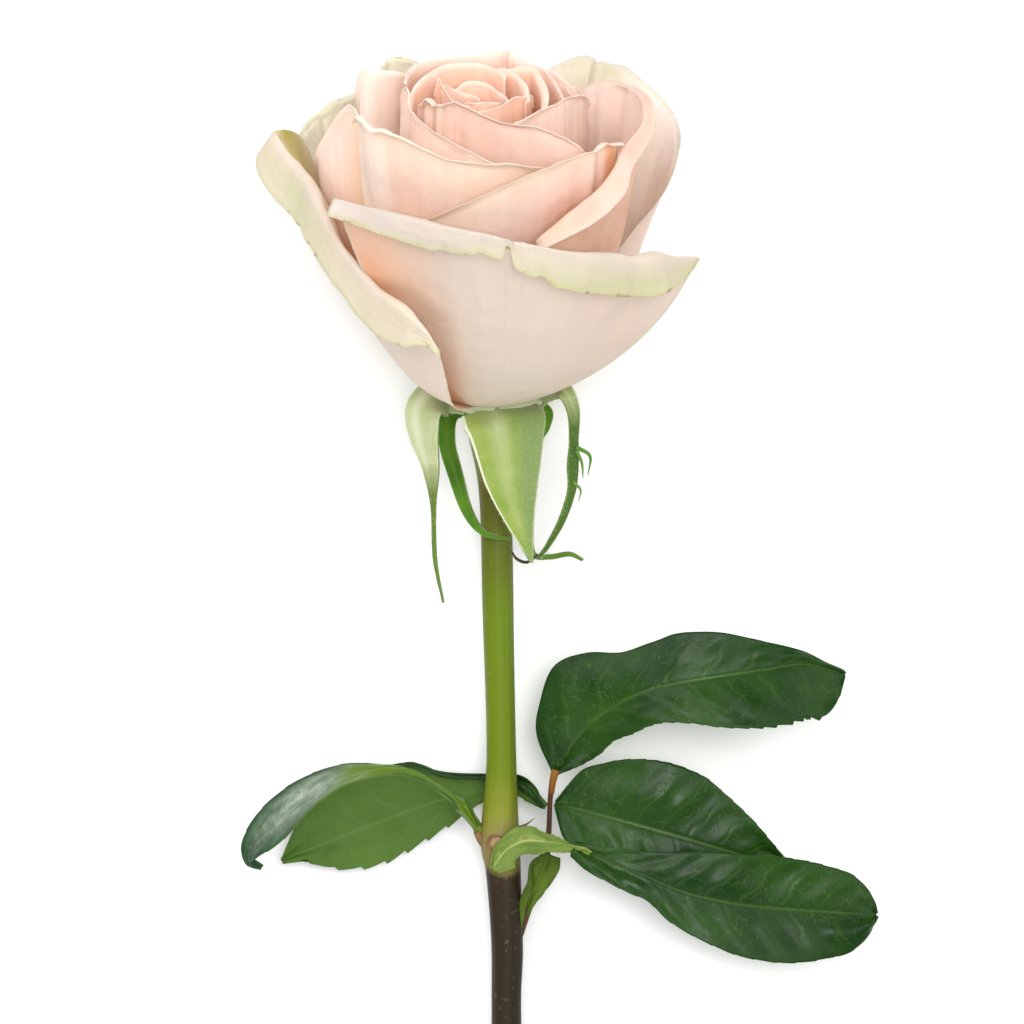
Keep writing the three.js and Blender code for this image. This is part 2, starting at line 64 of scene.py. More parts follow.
PETAL_THICKNESS = 0.42
PETAL_RIM_SHARE = 0.5  # how thick a petal's free edge is beside its root
RIM_WIDTH = 5  # how far from its edge a blade has its full thickness
PETAL_ROOT_HEIGHT = 0.8
SHORTEST_LIP = 0.2
SHORTEST_BEND = 0.15
RAGGED_WAVES = 31
SEPAL_THICKNESS = 0.6
LEAF_THICKNESS = 0.4
NARROWEST_TIP = 0.06  # of a rounded leaf, as a share of its width
TOOTH_SHIFT = 0.4  # of the teeth and veins on the left beside those on the right
FLAT_LIFT = 0.55  # of its thickness that the middle of a blade stays above the surface
LOWEST = 0.05  # that anything round or hairy comes down to
CURVE_STEP = 1e-3  # between two points of a curve that give its direction
SAME_PLACE = 1e-4  # between points that become one


# Small sums

def mix(a, b, share):
    return a + (b - a) * share


def clamp(value, low=0.0, high=1.0):
    return min(max(value, low), high)


def ease(low, high, value):
    share = clamp((value - low) / (high - low))
    return share * share * (3 - 2 * share)


def bell(value, middle, width):
    return math.exp(-((value - middle) / width) ** 2)


def curve_through(points):
    """A smooth curve through points or numbers, from 0 to 1."""
    if len(points) == 1:
        return lambda t: points[0]
    run = [2 * points[0] - points[1], *points, 2 * points[-1] - points[-2]]

    def at(t):
        place = clamp(t) * (len(points) - 1)
        i = min(int(place), len(points) - 2)
        w = place - i
        before, start, end, after = run[i:i + 4]
        leave, arrive = (end - before) * 0.5, (after - start) * 0.5
        square = 3 * (end - start) - 2 * leave - arrive
        cube = 2 * (start - end) + leave + arrive
        return start + leave * w + square * (w * w) + cube * (w * w * w)
    return at


def vectors(points):
    return [Vector(p) for p in points]


def from_bloom(x, f, h):
    return BASE + RIGHT * x + FRONT * f + AXIS * h


# Surfaces

def petal_surface(rim, root, cup, lean, lip, curl=(90,), roll=0.9, tears=(), ragged=0.05):
    """The middle of a petal: u from -1 to 1 across, v from 0 at the root to 1 near the rim,
    and on to 2 over a lip that turns outwards.

    rim holds points [x, f, h] of the lip's crest, root an angle round the bloom, half the
    angle that the root takes up and its distance from the axis. cup is the length, angle and
    twist of the sweep outwards at the root, lean the length and angle of the sweep into the
    rim, where 90 stands straight up. lip is how long the lip is and curl how many degrees it
    turns, both from one end of the rim to the other. roll is the share of the lip that
    bends; the rest of it runs straight. tears are notches of a place, width and depth."""
    rim_at = curve_through(vectors(rim))
    lip_at = curve_through(lip)
    curl_at = curve_through(list(curl))
    root_angle, root_half, root_radius = root
    cup_length, cup_angle, cup_twist = (*cup, 0)[:3]
    lean_length, lean_angle = lean[0], math.radians(lean[1])

    def at(u, v):
        t = (u + 1) / 2
        edge = rim_at(t)
        waves = noise.noise(Vector((t * RAGGED_WAVES, root_angle, 0)))
        length = max(lip_at(t), SHORTEST_LIP) * (1 + ragged * waves)
        for place, width, depth in tears:
            length *= 1 - depth * bell(t, place, width)
        turned = math.radians(curl_at(t))
        bend = max(length * roll, SHORTEST_BEND)
        arc = turned / bend
        crest = max(lean_angle - turned, 0)
        rim_radius = math.hypot(edge.x, edge.y) - (math.sin(lean_angle) - math.sin(crest)) / arc
        rim_height = edge.z - (math.cos(crest) - math.cos(lean_angle)) / arc
        turn = math.degrees(math.atan2(edge.x, edge.y)) - root_angle
        turn = (turn + 540) % 360 - 180
        body = clamp(v)
        angle = math.radians(root_angle + mix(u * root_half, turn, body * (2 - body)))
        cup_here = math.radians(cup_angle + cup_twist * u)
        corners = [(root_radius, PETAL_ROOT_HEIGHT),
                   (root_radius + cup_length * math.cos(cup_here),
                    PETAL_ROOT_HEIGHT + cup_length * math.sin(cup_here)),
                   (rim_radius - lean_length * math.cos(lean_angle),
                    rim_height - lean_length * math.sin(lean_angle)),
                   (rim_radius, rim_height)]
        back = 1 - body
        shares = (back ** 3, 3 * back * back * body, 3 * back * body * body, body ** 3)
        radius = sum(share * corner[0] for share, corner in zip(shares, corners))
        height = sum(share * corner[1] for share, corner in zip(shares, corners))
        if v > 1:
            gone = (min(v, 2) - 1) * length
            rolled = min(gone / bend, 1)
            straight = max(gone - bend, 0)
            end = lean_angle - turned * rolled
            radius += (math.sin(lean_angle) - math.sin(end)) / arc + straight * math.cos(end)
            height += (math.cos(end) - math.cos(lean_angle)) / arc + straight * math.sin(end)
        return from_bloom(radius * math.sin(angle), radius * math.cos(angle), height)
    return at


def leaf_surface(spine, facing, left, right=None, fold=0, wave=(0, 1, 0), teeth=(0, 0), depth=0.6,
                 toothed_from=0.0, round_tip=0.0):
    """The middle of a leaf or sepal: u from -1 on its right to 1 on its left, v from its
    base to its tip.

    spine holds its points, facing the way that its upper side looks, left and right its half
    widths, all at even steps. fold lifts its edges and wave ripples them by a height, a
    number of turns and a start. It has teeth on its left and right that point to the tip,
    which may be rounded over a share of its length."""
    spine_at = curve_through(vectors(spine))
    facing_at = curve_through(vectors(facing))
    left_at = curve_through(left)
    right_at = curve_through(right or left)

    def at(u, v):
        t = clamp(v)
        tangent = (spine_at(t + CURVE_STEP) - spine_at(t - CURVE_STEP)).normalized()
        side = facing_at(t).cross(tangent).normalized()
        up = tangent.cross(side)
        w = clamp(u, -1, 1)
        half_width = (left_at if w > 0 else right_at)(t)
        if round_tip and t > 1 - round_tip:
            past = (t - 1 + round_tip) / round_tip
            half_width *= max(math.sqrt(1 - past ** 2), NARROWEST_TIP)
        count = teeth[0] if w > 0 else teeth[1]
        shift = TOOTH_SHIFT if w > 0 else 0
        bite = (1 - (count * t + shift) % 1) if count else 0
        outer = max(3 * abs(w) - 2, 0) ** 2
        deep = depth * mix(0.25, 1, ease(toothed_from, toothed_from + 0.2, t))
        width = half_width - deep * bite * outer * min(half_width / 4, 1)
        ripple = wave[0] * math.sin(2 * math.pi * wave[1] * t + math.copysign(wave[2], w))
        lift = fold * abs(w) * half_width + ripple * w * w
        return spine_at(t) + side * (w * width) + up * lift
    return at


# Meshes

def finished(name, bm, finishes, node):
    """Makes an object of a mesh in millimetres, dresses it and lets it stand for its node."""
    for vert in bm.verts:
        vert.co = (vert.co + ORIGIN) * MM
    mesh = bpy.data.meshes.new(name)
    bm.to_mesh(mesh)
    bm.free()
    piece = bpy.data.objects.new(name, mesh)
    bpy.context.collection.objects.link(piece)
    for finish in finishes:
        mesh.materials.append(finish)
    mesh.shade_smooth()
    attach(piece, "root")
    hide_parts(node)
    return piece


def blade(name, surface, grid, finishes, node, thickness, crest=1, relief=None, vein=None,
          rim_share=1.0):
    """A thin blade over a surface. relief lifts it along its normal, in millimetres. The
    first finish is on the side that its normals point to, the second on the other side.
    crest is the share of the rows below a petal's lip. The blade keeps how far each point
    is from its edge, and how near a vein it lies."""
    columns, rows = grid
    bm = bmesh.new()
    bm.loops.layers.uv.new("blade")
    from_edge = bm.verts.layers.float.new("from_edge")
    near_vein = bm.verts.layers.float.new("vein")
    bmesh.ops.create_grid(bm, x_segments=columns, y_segments=rows, size=1, calc_uvs=True)
    place = {}
    for vert in bm.verts:
        column = round((vert.co.x + 1) / 2 * columns)
        row = round((vert.co.y + 1) / 2 * rows)
        share = row / rows
        v = share / crest if share <= crest else 1 + (share - crest) / (1 - crest)
        place[column, row] = (vert, 2 * column / columns - 1, v)
    for vert, u, v in place.values():
        vert.co = surface(u, v)
    bm.normal_update()
    if relief:
        lifted = {key: vert.co + vert.normal * relief(u, v) for key, (vert, u, v) in place.items()}
        for key, point in lifted.items():
            place[key][0].co = point
    for column in range(columns + 1):
        run = 0
        for row in range(rows, -1, -1):
            vert, u, v = place[column, row]
            if row < rows:
                run += (vert.co - place[column, row + 1][0].co).length
            vert[from_edge] = run
            vert[near_vein] = vein(u, v) if vein else 0
    for row in range(rows + 1):
        for order in (range(columns + 1), range(columns, -1, -1)):
            run = 0
            last = None
            for column in order:
                vert = place[column, row][0]
                if last:
                    run += (vert.co - last.co).length
                vert[from_edge] = min(vert[from_edge], run)
                last = vert
    low = thickness * FLAT_LIFT
    for vert in bm.verts:
        vert.co.z = max(vert.co.z, low)
    piece = finished(name, bm, finishes, node)
    body = piece.vertex_groups.new(name="body")
    reach = piece.data.attributes["from_edge"].data
    for i in range(len(reach)):
        body.add([i], mix(rim_share, 1, ease(0, RIM_WIDTH, reach[i].value)), "REPLACE")
    solid = piece.modifiers.new("thickness", "SOLIDIFY")
    solid.thickness = thickness * MM
    solid.offset = 0
    solid.vertex_group = "body"
    solid.material_offset = len(finishes) - 1
    solid.use_even_offset = False
    return piece


def round_body(name, path, radii, sides, steps, finishes, node, relief=None, ends=(None, None)):
    """A closed round body along a path. Its ends lie square to it, or to the given normals,
    and have the last of its finishes."""
    at = curve_through(vectors(path))
    radius_at = curve_through(radii)
    bm = bmesh.new()
    bm.loops.layers.uv.new("blade")
    bmesh.ops.create_grid(bm, x_segments=sides, y_segments=steps, size=1, calc_uvs=True)
    for vert in bm.verts:
        column = round((vert.co.x + 1) / 2 * sides)
        row = round((vert.co.y + 1) / 2 * steps)
        t = row / steps
        angle = -2 * math.pi * column / sides
        tangent = (at(t + CURVE_STEP) - at(t - CURVE_STEP)).normalized()
        across = (RIGHT - tangent * tangent.x).normalized()
        up = across.cross(tangent)
        radius = radius_at(t) + (relief(angle, t) if relief else 0)
        offset = across * (radius * math.cos(angle)) + up * (radius * math.sin(angle))
        cut = ends[0] if row == 0 else ends[1] if row == steps else None
        if cut is not None:
            offset -= tangent * (offset.dot(cut) / tangent.dot(cut))
        vert.co = at(t) + offset
        vert.co.z = max(vert.co.z, LOWEST)
    bmesh.ops.remove_doubles(bm, verts=bm.verts[:], dist=SAME_PLACE)
    open_edges = [edge for edge in bm.edges if edge.is_boundary]
    filled = bmesh.ops.holes_fill(bm, edges=open_edges, sides=0)
    for face in filled["faces"]:
        face.material_index = len(finishes) - 1
    bmesh.ops.recalc_face_normals(bm, faces=bm.faces[:])
    return finished(name, bm, finishes, node)


# Finishes

DEEP = (1.0, 0.45, 0.23)
APRICOT = (1.0, 0.62, 0.4)
BLUSH = (1.0, 0.71, 0.58)
PINK = (1.0, 0.77, 0.68)
PALE_PINK = (0.97, 0.81, 0.73)
MILK = (0.9, 0.84, 0.74)
CREAM = (0.86, 0.82, 0.64)
LIME = (0.74, 0.77, 0.46)
# Painted shade: the tan of the dark gap between the right petals, at the root of the right petal's inner face
GAP_SHADE_TAN = (0.74, 0.43, 0.25)
# Pale rim tone: partly the petals' own paler rims, partly a painted highlight along rims and rolled margins
PALE_AND_PAINTED_HIGHLIGHT = (1.0, 0.9, 0.83)
WARM = (1.0, 0.78, 0.62)
BRUISE = (0.22, 0.12, 0.04)
PALE_WOOL = (0.75, 0.78, 0.6)

GLOW_SHARE = 0.35  # of the light on a petal that goes through it


def finish(name):
    """A new material with one shader in it."""
    material = bpy.data.materials.new(name)
    material.use_nodes = True
    tree = material.node_tree
    tree.nodes.clear()
    output = tree.nodes.new("ShaderNodeOutputMaterial")
    shader = tree.nodes.new("ShaderNodeBsdfPrincipled")
    tree.links.new(shader.outputs["BSDF"], output.inputs["Surface"])
    return material, tree, shader


def settle(shader, **values):
    """Sets the shader's own sockets, whose names have spaces for the underscores."""
    for key, value in values.items():
        shader.inputs[key.replace("_", " ")].default_value = value


def ramp(tree, factor, stops):
    """A colour ramp from (place, colour) stops."""
    made = tree.nodes.new("ShaderNodeValToRGB")
    elements = made.color_ramp.elements
    while len(elements) < len(stops):
        elements.new(0.5)
    for element, (place, colour) in zip(elements, stops):
        element.position = place
        element.color = (*colour, 1)
    tree.links.new(factor, made.inputs["Fac"])
    return made.outputs["Color"]


def blend(tree, factor, a, b, mode="MIX"):
    """A colour that goes from a to b as the factor goes from 0 to 1."""
    made = tree.nodes.new("ShaderNodeMix")
    made.data_type = "RGBA"
    made.blend_type = mode
    for socket, value in ((made.inputs[0], factor), (made.inputs[6], a), (made.inputs[7], b)):
        if isinstance(value, bpy.types.NodeSocket):
            tree.links.new(value, socket)
        elif isinstance(value, tuple):
            socket.default_value = (*value, 1)
        else:
            socket.default_value = value
    return made.outputs[2]


def maths(tree, operation, *values, clamped=False):
    made = tree.nodes.new("ShaderNodeMath")
    made.operation = operation
    made.use_clamp = clamped
    for socket, value in zip(made.inputs, values):
        if isinstance(value, bpy.types.NodeSocket):
            tree.links.new(value, socket)
        else:
            socket.default_value = value
    return made.outputs[0]


def times(tree, a, b):
    return maths(tree, "MULTIPLY", a, b)


def plus(tree, a, b):
    return maths(tree, "ADD", a, b)


def spread(tree, value, low, high, to_low=0.0, to_high=1.0, smooth=False):
    """Maps a value's stretch from low to high on another stretch, and stays within that."""
    made = tree.nodes.new("ShaderNodeMapRange")
    made.clamp = True
    if smooth:
        made.interpolation_type = "SMOOTHSTEP"
    tree.links.new(value, made.inputs["Value"])
    for key, number in (("From Min", low), ("From Max", high), ("To Min", to_low), ("To Max", to_high)):
        made.inputs[key].default_value = number
    return made.outputs["Result"]


def parts(tree, vector):
    """The X, Y and Z of a vector."""
    split = tree.nodes.new("ShaderNodeSeparateXYZ")
    tree.links.new(vector, split.inputs[0])
    return split.outputs


def attribute(tree, name):
    made = tree.nodes.new("ShaderNodeAttribute")
    made.attribute_name = name
    return made.outputs["Fac"]


def uv_map(tree, scale):
    """A blade's own map, stretched by the scale and as it is."""
    made = tree.nodes.new("ShaderNodeUVMap")
    made.uv_map = "blade"
    moved = tree.nodes.new("ShaderNodeMapping")
    moved.inputs["Scale"].default_value = scale
    tree.links.new(made.outputs["UV"], moved.inputs["Vector"])
    return moved.outputs["Vector"], made.outputs["UV"]


def place_on_piece(tree):
    return tree.nodes.new("ShaderNodeTexCoord").outputs["Object"]


def grain(tree, vector, scale, detail=3.0, roughness=0.55, distortion=0.0):
    """Soft noise round 0.5."""
    made = tree.nodes.new("ShaderNodeTexNoise")
    for key, number in (("Scale", scale), ("Detail", detail), ("Roughness", roughness),
                        ("Distortion", distortion)):
        made.inputs[key].default_value = number
    tree.links.new(vector, made.inputs["Vector"])
    return made.outputs["Fac"]


def bump(tree, shader, height, strength, distance):
    made = tree.nodes.new("ShaderNodeBump")
    made.inputs["Strength"].default_value = strength
    made.inputs["Distance"].default_value = distance * MM
    tree.links.new(height, made.inputs["Height"])
    tree.links.new(made.outputs["Normal"], shader.inputs["Normal"])


def soft_patch(tree, uv, x, y, width, height, strength):
    """A soft oval on a blade's face, as a share from 0 to strength."""
    moved = tree.nodes.new("ShaderNodeMapping")
    moved.inputs["Location"].default_value = (-x / width, -y / height, 0)
    moved.inputs["Scale"].default_value = (1 / width, 1 / height, 1)
    tree.links.new(uv, moved.inputs["Vector"])
    far = tree.nodes.new("ShaderNodeVectorMath")
    far.operation = "LENGTH"
    tree.links.new(moved.outputs["Vector"], far.inputs[0])
    return spread(tree, far.outputs["Value"], 0.0, 1.0, strength, 0.0, smooth=True)


def petal_skin(name, stops, edge, edge_reach, bruise=0.0, tints=(), dim=1.0):
    """Petal tissue: colours from root to rim, tints in soft ovals, some of them painted shade and
    painted highlight, milky patches, a tinted edge that is partly painted highlight where pale,
    fine veins that fan out from the root, and light that passes through. dim darkens its own
    colours."""
    def dimmed(tone):
        return tuple(dim * part for part in tone)
    material, tree, shader = finish(name)
    place = place_on_piece(tree)
    fan, uv = uv_map(tree, (46, 2.2, 1))
    fine_fan, _ = uv_map(tree, (150, 5, 1))
    drift = maths(tree, "MULTIPLY_ADD", grain(tree, place, scale=60), 0.12, parts(tree, uv)["Y"])
    colour = ramp(tree, maths(tree, "SUBTRACT", drift, 0.06), [(t, dimmed(tone)) for t, tone in stops])
    for *oval, tint, strength in tints:
        colour = blend(tree, soft_patch(tree, uv, *oval, strength), colour, dimmed(tint))
    veins = grain(tree, fan, scale=1, detail=4, roughness=0.6)
    fine_veins = grain(tree, fine_fan, scale=1, detail=2, roughness=0.6)
    lines = plus(tree, times(tree, veins, 0.6), times(tree, fine_veins, 0.4))
    colour = blend(tree, spread(tree, lines, 0.38, 0.62, to_high=0.22), colour, WARM, "SOFT_LIGHT")
    milky = grain(tree, place, scale=85, detail=5, roughness=0.6)
    colour = blend(tree, spread(tree, milky, 0.4, 0.66, to_high=0.28), colour, dimmed(MILK))
    from_edge = attribute(tree, "from_edge")
    patch = grain(tree, place, scale=170, detail=4)
    wander = times(tree, maths(tree, "SUBTRACT", patch, 0.5), edge_reach * 1.6)
    rim = spread(tree, plus(tree, from_edge, wander), 0.0, edge_reach, 0.8, 0.0)
    colour = blend(tree, rim, colour, dimmed(edge))
    if bruise:
        spots = spread(tree, grain(tree, place, scale=420), 0.56, 0.68)
        close = spread(tree, from_edge, 0.1, 0.9, 1.0, 0.0)
        colour = blend(tree, times(tree, times(tree, spots, close), bruise), colour, BRUISE)
    tree.links.new(colour, shader.inputs["Base Color"])
    settle(shader, Roughness=0.5, Specular_IOR_Level=0.3, Sheen_Weight=0.05, Sheen_Roughness=0.5)
    velvet = times(tree, grain(tree, place, scale=2600, detail=2), 0.25)
    crumple = times(tree, grain(tree, place, scale=120, detail=4, roughness=0.5), 13.0)
    bump(tree, shader, plus(tree, plus(tree, lines, velvet), crumple), 0.4, 0.16)
    glow = tree.nodes.new("ShaderNodeBsdfTranslucent")
    tree.links.new(blend(tree, 0.5, colour, WARM), glow.inputs["Color"])
    both = tree.nodes.new("ShaderNodeMixShader")
    both.inputs[0].default_value = GLOW_SHARE
    tree.links.new(shader.outputs["BSDF"], both.inputs[1])
    tree.links.new(glow.outputs["BSDF"], both.inputs[2])
    output = tree.nodes["Material Output"]
    tree.links.new(both.outputs["Shader"], output.inputs["Surface"])
    return material


def leaf_skin(name, face, cloudy, vein_colour, roughness, rib, specular, band=None, painted_gloss=None):
    """Leaf tissue: cloudy green with fine curly veins. rib is how strongly the main veins
    show. painted_gloss is a painted highlight, pale and broken, down the middle of the blade.
    band is a second colour that covers the blade from its base on, further along one margin than the other."""
    material, tree, shader = finish(name)
    place = place_on_piece(tree)
    colour = blend(tree, spread(tree, grain(tree, place, scale=55, detail=4), 0.38, 0.68), face, cloudy)
    curls = grain(tree, place, scale=330, detail=1, roughness=0.5, distortion=1.2)
    off = maths(tree, "ABSOLUTE", maths(tree, "SUBTRACT", curls, 0.5))
    threads = spread(tree, off, 0.0, 0.016, 1.0, 0.0)
    here = spread(tree, grain(tree, place, scale=70, detail=2), 0.4, 0.6, 0.1, 0.4)
    colour = blend(tree, times(tree, threads, here), colour, vein_colour)
    vein = maths(tree, "MULTIPLY", attribute(tree, "vein"), rib, clamped=True)
    colour = blend(tree, vein, colour, vein_colour)
    speck = spread(tree, grain(tree, place, scale=900, detail=2), 0.66, 0.74, to_high=0.2)
    colour = blend(tree, speck, colour, vein_colour)
    # Painted highlight: pale, broken streaks of gloss down the middle of the blade
    if painted_gloss:
        streaks, uv = uv_map(tree, (5, 9, 1))
        mottled = spread(tree, grain(tree, place, scale=420, detail=5, roughness=0.7), 0.3, 0.62, 0.2)
        streaked = spread(tree, grain(tree, streaks, scale=1), 0.36, 0.6, 0.4)
        patch = soft_patch(tree, uv, 0.45, 0.6, 0.6, 0.3, strength=1.0)
        colour = blend(tree, times(tree, patch, times(tree, mottled, streaked)), colour, painted_gloss)
    if band:
        _, uv = uv_map(tree, (1, 1, 1))
        share = parts(tree, uv)
        slanted = maths(tree, "MULTIPLY_ADD", share["X"], -0.04, share["Y"])
        colour = blend(tree, spread(tree, slanted, 0.44, 0.52, 1.0, 0.0), colour, band)
    rim_width, rim_strength = (1.2, 0.8) if painted_gloss else (0.5, 0.5)
    rim = spread(tree, attribute(tree, "from_edge"), 0.0, rim_width, rim_strength, 0.0)
    colour = blend(tree, rim, colour, face)
    tree.links.new(colour, shader.inputs["Base Color"])
    worn = grain(tree, place, scale=180, detail=4)
    rough = spread(tree, worn, 0.3, 0.7, roughness - 0.07, roughness + 0.1)
    tree.links.new(rough, shader.inputs["Roughness"])
    settle(shader, Specular_IOR_Level=specular, Subsurface_Weight=0.08,
           Subsurface_Radius=(0.4, 0.8, 0.2), Subsurface_Scale=1 * MM)
    bump(tree, shader, plus(tree, times(tree, threads, -0.6), grain(tree, place, scale=420)), 0.35, 0.14)
    return material


def woolly_skin(name, face, pale, stripe, stripe_place=0.5, tail=None, shade=None):
    """Sepal tissue: a matte, downy green that pales in a stripe down its middle. It may have
    a tail of another colour from a place on, and a shaded half beside a pale margin."""
    material, tree, shader = finish(name)
    place = place_on_piece(tree)
    streak, uv = uv_map(tree, (16, 2, 1))
    share = parts(tree, uv)
    lines = grain(tree, streak, scale=1, detail=4)
    down = grain(tree, place, scale=1300, roughness=0.7)
    colour = blend(tree, spread(tree, grain(tree, place, scale=140, detail=4), 0.35, 0.65), face, pale)
    off_middle = maths(tree, "ABSOLUTE", maths(tree, "SUBTRACT", share["X"], stripe_place))
    middle = times(tree, spread(tree, off_middle, 0.02, 0.2, 1.0, 0.0), spread(tree, share["Y"], 0.95, 0.3))
    colour = blend(tree, times(tree, middle, 0.75), colour, stripe)
    colour = blend(tree, spread(tree, lines, 0.45, 0.7, to_high=0.35), colour, pale)
    if shade:
        colour = blend(tree, spread(tree, share["X"], 0.5, 0.75, to_high=0.75), colour, shade)
    colour = blend(tree, spread(tree, down, 0.5, 0.75, to_high=0.25), colour, stripe)
    edge = spread(tree, attribute(tree, "from_edge"), 0.0, 0.5, 0.6, 0.0)
    colour = blend(tree, edge, colour, stripe)
    if shade:
        colour = blend(tree, spread(tree, share["X"], 0.02, 0.045, 1.0, 0.0), colour, PALE_WOOL)
    if tail:
        start, tail_colour = tail
        colour = blend(tree, spread(tree, share["Y"], start - 0.08, start + 0.04), colour, tail_colour)
    tree.links.new(colour, shader.inputs["Base Color"])
    settle(shader, Roughness=0.8, Specular_IOR_Level=0.2, Sheen_Weight=0.25, Subsurface_Weight=0.12,
           Subsurface_Radius=(0.5, 0.9, 0.3), Subsurface_Scale=1 * MM)
    bump(tree, shader, plus(tree, times(tree, down, 0.6), lines), 0.5, 0.25)
    return material


# Colours up the stem, by their place in the rose's own frame in millimetres
STEM_COLOURS = [(-124, (0.015, 0.01, 0.004)), (-61, (0.02, 0.012, 0.005)),
                (-57.4, (0.025, 0.014, 0.006)), (-56, (0.15, 0.12, 0.035)),
                (-50, (0.2, 0.15, 0.06)), (-44, (0.16, 0.18, 0.015)), (-36, (0.105, 0.15, 0.002)),
                (0, (0.092, 0.142, 0.001)), (10, (0.08, 0.105, 0.003)), (28, (0.085, 0.08, 0.008)),
                (40, (0.22, 0.28, 0.09))]
STEM_LOW = -124.07
STEM_HIGH = 51.8
STEM_DRIFT = 8  # how far its colours wander along it
FLANK = (-11.5, -9)  # where its shaded flank begins and is full
RIB_TINT = (0.62, 0.64, 0.35)
PAINTED_FLANK_SHADE = (0.35, 0.4, 0.2)
SPECK_TINT = (0.25, 0.2, 0.1)


def stem_bark(name):
    """Stem skin: fresh green above the node, purple brown below it, lightly ribbed, with shade painted down
    its right flank.
    """
    material, tree, shader = finish(name)
    place = place_on_piece(tree)
    share = parts(tree, place)
    along = plus(tree, share["Y"], times(tree, grain(tree, place, scale=90), STEM_DRIFT * MM))
    stops = [((y - STEM_LOW) / (STEM_HIGH - STEM_LOW), colour) for y, colour in STEM_COLOURS]
    low, high = (STEM_LOW + STEM_DRIFT / 2) * MM, (STEM_HIGH + STEM_DRIFT / 2) * MM
    colour = ramp(tree, spread(tree, along, low, high), stops)
    rib_map, _ = uv_map(tree, (34, 4, 1))
    ribs = grain(tree, rib_map, scale=1)
    colour = blend(tree, spread(tree, ribs, 0.35, 0.65, to_high=0.6), colour, RIB_TINT, "OVERLAY")
    # Painted shade: the stem darkens across its right flank
    flank = spread(tree, share["X"], FLANK[0] * MM, FLANK[1] * MM, to_high=0.45)
    colour = blend(tree, flank, colour, PAINTED_FLANK_SHADE, "MULTIPLY")
    specks = spread(tree, grain(tree, place, scale=800), 0.62, 0.72, to_high=0.2)
    colour = blend(tree, specks, colour, SPECK_TINT)
    tree.links.new(colour, shader.inputs["Base Color"])
    settle(shader, Roughness=0.5, Specular_IOR_Level=0.2)
    bump(tree, shader, plus(tree, ribs, times(tree, grain(tree, place, scale=900), 0.4)), 0.4, 0.2)
    return material


def pith(name):
    """The pale, grainy pith of the cut end."""
    material, tree, shader = finish(name)
    place = place_on_piece(tree)
    colour = blend(tree, grain(tree, place, scale=1500), (0.5, 0.52, 0.3), (0.75, 0.74, 0.55))
    tree.links.new(colour, shader.inputs["Base Color"])
    settle(shader, Roughness=0.7)
    bump(tree, shader, grain(tree, place, scale=2500), 0.4, 0.2)
    return material


def plain_finish(name, colour, other, scale, roughness):
    """A mottled finish for small bits."""
    material, tree, shader = finish(name)
    place = place_on_piece(tree)
    tint = blend(tree, spread(tree, grain(tree, place, scale, detail=4), 0.35, 0.65), colour, other)
    tree.links.new(tint, shader.inputs["Base Color"])
    settle(shader, Roughness=roughness, Specular_IOR_Level=0.2)
    bump(tree, shader, grain(tree, place, scale * 6), 0.3, 0.15)
    return material


# Petals

